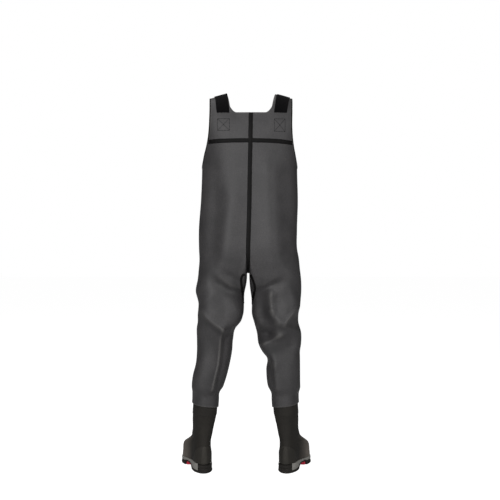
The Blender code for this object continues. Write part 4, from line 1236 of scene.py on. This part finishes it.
def stitch_run(start, end):
    """Both ends of each stitch along a straight line."""
    start, end = np.array(start, float), np.array(end, float)
    length = np.linalg.norm(end - start)
    count = max(2, round(length / (STITCH_LONG + STITCH_GAP)))
    step = (end - start) / count
    ease = step * STITCH_GAP / (STITCH_LONG + STITCH_GAP) / 2
    return [(start + step * i + ease, start + step * (i + 1) - ease) for i in range(count)]


def box_cross(low, high):
    """Stitches round a rectangle and along both of its diagonals."""
    corners = (low, (high[0], low[1]), high, (low[0], high[1]))
    lines = [(corners[i], corners[(i + 1) % 4]) for i in range(4)]
    lines += [(corners[0], corners[2]), (corners[1], corners[3])]
    return [stitch for line in lines for stitch in stitch_run(*line)]


def add_stitches(name, stitches, lay):
    """Raised stitches; lay gives the places on the surface and its directions."""
    mesh = bmesh.new()
    swell = np.array(STITCH_SWELL)[:, None]
    for first, last in stitches:
        path = np.array([first + (last - first) * share for share in STITCH_PLACES])
        spots, faces = lay(path)
        run = line_frames(spots)
        aside = np.cross(run, faces)
        rows = []
        for turn in 2 * math.pi * np.arange(STITCH_SIDES) / STITCH_SIDES:
            wide = aside * math.cos(turn) * STITCH_THICK / 2
            tall = faces * (math.sin(turn) * STITCH_TALL / 2 + STITCH_TALL / 3)
            rows.append(spots + (wide + tall) * swell)
        sweep(mesh, np.stack(rows, axis=1))
    add_piece(name, finish_mesh(name, mesh), (THREAD,), "black_elastic")


def add_back_stitches(tree):
    def on_back(path):
        return seen_from_behind(tree, path[:, 0], path[:, 1])

    for square in STITCH_BOXES:
        low = (square.side * square.inner, square.low)
        stitches = box_cross(low, (square.side * square.outer, square.high))
        add_stitches(f"strap_stitches_back_{square.name}", stitches, on_back)


def add_front_stitches(place):
    """Stitches that hold the strap's lower end to the bib."""
    half = STRAP_WIDTH / 2 - STITCH_INSET
    low = (STRAP_FRONT_OUT - half, BIB_TOP - STRAP_FRONT_LAP + STITCH_INSET)
    stitches = box_cross(low, (STRAP_FRONT_OUT + half, BIB_TOP - STITCH_INSET))

    def on_strap(path):
        lift = STRAP_CLEAR + STRAP_THICK * STRAP_HOLLOW
        y = panel_y(place.side, path[:, 0], path[:, 1], -1) - lift
        x = spline(TORSO, path[:, 1]).seam + place.side * path[:, 0]
        return points(x, y, path[:, 1]), np.broadcast_to((0.0, -1.0, 0.0), (len(path), 3))

    add_stitches(f"strap_stitches_front_{place.name}", stitches, on_strap)


def add_suit():
    surface = suit_surface()
    add_shell(surface)
    mesh = bmesh.new()
    mesh.from_mesh(surface)
    tree = BVHTree.FromBMesh(mesh)
    mesh.free()
    add_centre_tape()
    for boot in BOOTS:
        add_yoke_tape(boot)
        add_gusset_tape(boot, tree)
        add_armhole_binding(surface, boot)
    for place in STRAPS:
        add_strap(place)
        add_front_stitches(place)
    add_back_stitches(tree)


# Boots


def boot_rings(side, rows, angle):
    """Points of the boot's upper in its own frame, heel at +Y and toe at -Y."""
    ring = spline(BOOT_RINGS, rows)
    along, across = oval(angle, BOOT_POWER)
    place = (1 - along) / 2
    plan = spline(FOOT_PLAN, place)
    half = ring.half_width * (1 + ring.foot * (plan.half / BALL_HALF - 1))
    x = ring.foot * plan.centre + half * across - ring.lean
    y = ring.heel_y + (ring.front_y - ring.heel_y) * place
    feather = spline(SOLE, place).feather + TOUCH
    chord = ring.heel_z + (ring.front_z - ring.heel_z) * place
    return points(side * x, y, feather + (chord - feather) * np.clip(ring.rise, 0, 1))


def facing_out(face, grid, rings):
    """Unit directions that point away from the middles of rings."""
    face = unit(face)
    middle = rings.mean(axis=1, keepdims=True)
    return face * np.sign(np.sum(face * (grid - middle), axis=-1))[..., None]


def all_round(rows):
    """Rows repeated for a whole turn round the boot, and the angles of that turn."""
    rows = rows + np.zeros(BOOT_COLUMNS)
    return rows, 2 * math.pi * np.arange(BOOT_COLUMNS) / BOOT_COLUMNS + 0 * rows


def grid_normals(grid):
    """Outward directions of a closed grid of rings."""
    along = np.gradient(grid, axis=0)
    across = np.roll(grid, -1, axis=1) - np.roll(grid, 1, axis=1)
    return facing_out(np.cross(across, along), grid, grid)


def crease_rise(rows, angle):
    """How far creases push the boot's surface."""
    rise = np.zeros(np.broadcast(rows, angle).shape)
    for crease in BOOT_CREASES:
        turn = np.degrees(angle) - crease.turn
        turn = (turn + 180) % 360 - 180
        level = (rows - crease.row - CREASE_SLANT * turn) / crease.width
        rise = rise + crease.rise * np.exp(-(level**2) - (turn / crease.spread) ** 2)
    return rise


def in_place(boot, grid):
    """Points of a boot's own frame in the suit's."""
    x, y = boot_to_suit(boot, grid[..., 0], grid[..., 1])
    return points(x, y, grid[..., 2])


def boot_grid(boot, rows, angle):
    grid = boot_rings(boot.side, rows, angle)
    return grid + grid_normals(grid) * crease_rise(rows, angle)[..., None]


def add_boot_upper(boot):
    rows, angle = all_round(np.linspace(0, BOOT_RINGS[-1].row, BOOT_FINE_ROWS + 1)[:, None])
    mesh = bmesh.new()
    add_patch(mesh, in_place(boot, boot_grid(boot, rows, angle)), closed=True)
    data = finish_mesh("rubber_boot", mesh, BOOT_SHARP)
    materials = (BOOT_RUBBER, LINING)
    name = f"rubber_boot_{boot.name}"
    upper = add_piece(name, data, materials, "dark_boot_rubber", f"boot_upper_{boot.name}")
    add_wall(upper, BOOT_WALL)


# Heel counter: half its turn round the heel at a row, from its lower edge to its top
CounterRow = namedtuple("CounterRow", "row half_turn")
COUNTER = table(
    CounterRow,
    (0.3, 62), (1.2, 60), (2.2, 55), (3.2, 44), (3.9, 30), (4.2, 16),
)


def add_heel_counter(boot):
    """A raised rubber panel round the heel, fading to the upper at its edge."""
    rows = np.linspace(COUNTER[0].row, COUNTER[-1].row, COUNTER_POINTS)[:, None]
    share = np.linspace(-1, 1, COUNTER_POINTS)
    angle = np.radians(spline(COUNTER, rows[:, 0]).half_turn[:, None] * share)
    rows = rows + 0 * angle
    grid = boot_rings(boot.side, rows, angle)
    rings = boot_rings(boot.side, *all_round(rows[:, :1]))
    face = facing_out(np.cross(np.gradient(grid, axis=1), np.gradient(grid, axis=0)), grid, rings)
    up = np.linspace(0, 1, COUNTER_POINTS)[:, None]
    rim = np.minimum(np.minimum(1 - np.abs(share), up), 1 - up)
    lift = COUNTER_THICK * smooth(rim / COUNTER_EDGE) - TAPE_SINK * (rim <= 0)
    spine = SPINE_THICK * smooth((SPINE_HALF - np.abs(share)) / COUNTER_EDGE) * smooth(rim / COUNTER_EDGE)
    mesh = bmesh.new()
    add_patch(mesh, in_place(boot, grid + face * (lift + spine)[..., None]))
    data = finish_mesh("rubber_heel_counter", mesh, BOOT_SHARP)
    for polygon in data.polygons:
        column = polygon.index % (COUNTER_POINTS - 1)
        polygon.material_index = int(abs(share[column] + share[column + 1]) / 2 < SPINE_HALF)
    # The counter and its spine take paler copies of the boot rubber: painted highlight
    materials = (LIT_COUNTER_RUBBER, LIT_SPINE_RUBBER)
    name = f"rubber_heel_counter_{boot.name}"
    add_piece(name, data, materials, "dark_boot_rubber", f"heel_counter_{boot.name}")


def footprint(side, offset):
    """The upper's lower outline moved outwards: points in plan, and each one's place from heel to toe."""
    places = [row.place for row in SOLE]
    even = (1 - np.cos(np.linspace(0, math.pi, SOLE_POINTS))) / 2
    along = 1 - 2 * np.unique(np.round(np.concatenate((even, places)), 4))
    half_turn = np.arccos(np.sign(along) * np.abs(along) ** (BOOT_POWER / 2))
    angle = np.concatenate((half_turn, -half_turn[-2:0:-1]))
    ring = boot_rings(side, np.zeros_like(angle), angle)[:, :2]
    run = unit(np.roll(ring, -1, axis=0) - np.roll(ring, 1, axis=0))
    out = np.stack((-run[:, 1], run[:, 0]), -1) * side
    return ring + out * offset, (1 - oval(angle, BOOT_POWER)[0]) / 2


def sole_slab(boot, levels, underside, top):
    """A closed layer of the sole through its levels, between two heights along the foot."""
    mesh = bmesh.new()
    rings = []
    for level in levels:
        plan, place = footprint(boot.side, level.offset)
        sole = straight(SOLE, place)
        z = underside(sole) + (top(sole) - underside(sole)) * level.share
        spots = metres(in_place(boot, points(plan[:, 0], plan[:, 1], z)))
        rings.append([mesh.verts.new(spot) for spot in spots])
    count = len(rings[0])
    for lower, upper in zip(rings, rings[1:]):
        for here in range(count):
            after = (here + 1) % count
            mesh.faces.new((lower[here], lower[after], upper[after], upper[here]))
    toe = count // 2
    for ring in (rings[0], rings[-1]):
        mesh.faces.new((ring[0], ring[1], ring[-1]))
        mesh.faces.new((ring[toe - 1], ring[toe], ring[toe + 1]))
        for here in range(1, toe - 1):
            mesh.faces.new((ring[here], ring[here + 1], ring[-here - 1], ring[-here]))
    return mesh


def place_y(place):
    """Depth in the boot's own frame of a place from heel to toe."""
    return BOOT_RINGS[0].heel_y + (BOOT_RINGS[0].front_y - BOOT_RINGS[0].heel_y) * place


def add_cutter(boot, corners):
    """Boxes in the boot's own frame that shape a piece of its sole, and aren't shown."""
    mesh = bmesh.new()
    for low, high in corners:
        low, high = np.array(low), np.array(high)
        made = bmesh.ops.create_cube(mesh, size=1.0)["verts"]
        for vert in made:
            spot = np.array(vert.co) * (high - low) + (low + high) / 2
            vert.co = metres(in_place(boot, spot))
    return add_object("cutter", finish_mesh("cutter", mesh))


def shaped(mesh, name, cutter, operation, bevel):
    """The mesh of a piece after a cut by its cutter, with its edges rounded."""
    made = add_object(name, finish_mesh(name, mesh))
    step = made.modifiers.new("cut", "BOOLEAN")
    step.operation = operation
    step.object = cutter
    edge = made.modifiers.new("edge", "BEVEL")
    edge.width = bevel * MM
    edge.segments = 2
    edge.limit_method = "ANGLE"
    edge.angle_limit = math.radians(BEVEL_ANGLE)
    data = bpy.data.meshes.new_from_object(made.evaluated_get(bpy.context.evaluated_depsgraph_get()))
    bpy.data.objects.remove(made)
    bpy.data.objects.remove(cutter)
    data.name = name
    data.shade_smooth()
    data.set_sharp_from_angle(angle=math.radians(SHARP))
    data.materials.clear()
    return data


def heel_block_box(boot, grow):
    """The notch at the back of the heel, open to the inner side, that the heel block fills."""
    rear = BOOT_RINGS[0].heel_y
    sides = sorted((boot.side * (HEEL_BLOCK_OUTER + grow), -boot.side * HEEL_BLOCK_INNER))
    front = rear - HEEL_BLOCK_DEEP - grow
    return (sides[0], front, BENEATH), (sides[1], rear + HEEL_BLOCK_REAR, HEEL_BLOCK_TOP)


def groove_boxes():
    """The grooves across the tread."""
    middles = [place_y(place) for place in HEEL_GROOVES + FOREFOOT_GROOVES]
    half = GROOVE_WIDE / 2
    return [((-BESIDE, y - half, BENEATH), (BESIDE, y + half, GROOVE_DEEP)) for y in middles]


def arch_box():
    """The stretch of the arch that the insert fills."""
    rear, front = (place_y(place) for place in INSERT_PLACES)
    return (-BESIDE, front, BENEATH), (BESIDE, rear, HEEL_BLOCK_TOP)


# Layers of the sole: their levels lie between an underside and a top, and boxes cut or bound them
SoleLayer = namedtuple("SoleLayer", "name node levels underside top boxes operation bevel material slot")
SOLE_LAYERS = table(
    SoleLayer,
    (
        "foam_midsole", "midsole", MIDSOLE_LEVELS,
        lambda sole: sole.seam, lambda sole: sole.feather,
        lambda boot: [heel_block_box(boot, 0)], "DIFFERENCE", 0.5, MIDSOLE_FOAM, "grey_midsole_foam",
    ),
    (
        "rubber_heel_block", "heel_block", HEEL_BLOCK_LEVELS,
        lambda sole: sole.seam, lambda sole: sole.feather,
        lambda boot: [heel_block_box(boot, -TOUCH)], "INTERSECT", 0.5, SOLE_RUBBER, "black_sole_rubber",
    ),
    (
        "rubber_outsole", "outsole", OUTSOLE_LEVELS,
        lambda sole: sole.ground, lambda sole: sole.seam - TOUCH,
        lambda boot: groove_boxes(), "DIFFERENCE", 0.6, SOLE_RUBBER, "black_sole_rubber",
    ),
    (
        "rubber_arch_insert", "arch_insert", INSERT_LEVELS,
        lambda sole: INSERT_LOW + 0 * sole.ground,
        lambda sole: np.maximum(sole.ground - INSERT_CLEAR, INSERT_LOW + INSERT_THIN),
        lambda boot: [arch_box()], "INTERSECT", 0.8, INSERT_RUBBER, "red_insert_rubber",
    ),
)


def add_sole_layer(boot, layer):
    slab = sole_slab(boot, layer.levels, layer.underside, layer.top)
    data = shaped(slab, layer.node, add_cutter(boot, layer.boxes(boot)), layer.operation, layer.bevel)
    node = f"{layer.node}_{boot.name}"
    add_piece(f"{layer.name}_{boot.name}", data, (layer.material,), layer.slot, node)


def insole_seat(sole):
    return sole.feather + TOUCH


def add_insole(boot):
    slab = sole_slab(boot, INSOLE_LEVELS, insole_seat, lambda sole: insole_seat(sole) + INSOLE_THICK)
    name = f"felt_insole_{boot.name}"
    add_piece(name, finish_mesh(name, slab), (INSOLE_FELT,), "dark_insole_felt", f"insole_{boot.name}")


# Stage: the camera's place is in the suit's millimetres, and lamps and floor are in metres
CAMERA_PLACE = (-13.4, 3400.0, 920.0)
CAMERA_FALL = 0.0072
CAMERA_LENS = 59.72
CAMERA_SENSOR = 36.0
WHITE = (1, 1, 1, 1)
STUDIO_LIGHT = 0.07
FLOOR_HALF = 20
FLOOR_LIGHT = 0.12
FLOOR_WHITE = 0.95

Lamp = namedtuple("Lamp", "name place target width height power")
LAMPS = table(
    Lamp,
    ("key", (1.1, 3.6, 1.9), (0, 0, 0.7), 1.3, 1.6, 76),
    ("fill", (-2.3, 2.8, 1.9), (0, 0, 1.0), 1.4, 1.8, 36),
    ("top", (0.5, 0.2, 3.3), (0, 0, 0.4), 1.6, 1.6, 22),
)


def add_camera():
    data = bpy.data.cameras.new("camera")
    data.lens = CAMERA_LENS
    data.sensor_width = CAMERA_SENSOR
    made = add_object("camera", data)
    made.location = metres(CAMERA_PLACE)
    made.rotation_euler = (math.pi / 2 - math.atan(CAMERA_FALL), 0, math.pi)
    bpy.context.scene.camera = made


def add_lamps():
    for lamp in LAMPS:
        data = bpy.data.lights.new(lamp.name, "AREA")
        data.shape = "RECTANGLE"
        data.size = lamp.width
        data.size_y = lamp.height
        data.energy = lamp.power
        made = add_object(lamp.name, data)
        made.location = lamp.place
        aim = Vector(lamp.target) - Vector(lamp.place)
        made.rotation_euler = aim.to_track_quat("-Z", "Y").to_euler()


def add_world():
    """A white studio: white to the eye, a softer grey as light."""
    world = bpy.data.worlds.new("studio")
    bpy.context.scene.world = world
    world.use_nodes = True
    tree = world.node_tree
    tree.nodes.clear()
    seen = add_node(tree, "ShaderNodeLightPath").outputs["Is Camera Ray"]
    backdrop = add_node(tree, "ShaderNodeBackground", {"Color": WHITE, "Strength": 1.0})
    light = add_node(tree, "ShaderNodeBackground", {"Color": WHITE, "Strength": STUDIO_LIGHT})
    mixed = add_node(tree, "ShaderNodeMixShader", {0: seen, 1: light.outputs[0], 2: backdrop.outputs[0]})
    add_node(tree, "ShaderNodeOutputWorld", {"Surface": mixed.outputs[0]})


def add_floor():
    """A white floor: white to the eye, with soft shadows, and a softer grey as light."""
    mesh = bmesh.new()
    bmesh.ops.create_grid(mesh, x_segments=1, y_segments=1, size=FLOOR_HALF)
    data = bpy.data.meshes.new("floor")
    mesh.to_mesh(data)
    mesh.free()
    paint, tree, shader = new_material("painted_studio_floor")
    seen = add_node(tree, "ShaderNodeLightPath").outputs["Is Camera Ray"]
    glow = add_node(tree, "ShaderNodeMapRange", {"Value": seen, "To Min": FLOOR_LIGHT, "To Max": FLOOR_WHITE})
    set_inputs(tree, shader, {
        "Base Color": linear("#c8c8c8"),
        "Roughness": 0.9,
        "Specular IOR Level": 0.0,
        "Emission Color": WHITE,
        "Emission Strength": glow.outputs["Result"],
    })
    data.materials.append(paint)
    floor = add_object("floor", data)


def main():
    bpy.context.scene.view_settings.view_transform = "Standard"
    add_camera()
    add_lamps()
    add_world()
    add_floor()
    add_suit()
    for boot in BOOTS:
        add_boot_upper(boot)
        add_heel_counter(boot)
        for layer in SOLE_LAYERS:
            add_sole_layer(boot, layer)
        add_insole(boot)


main()
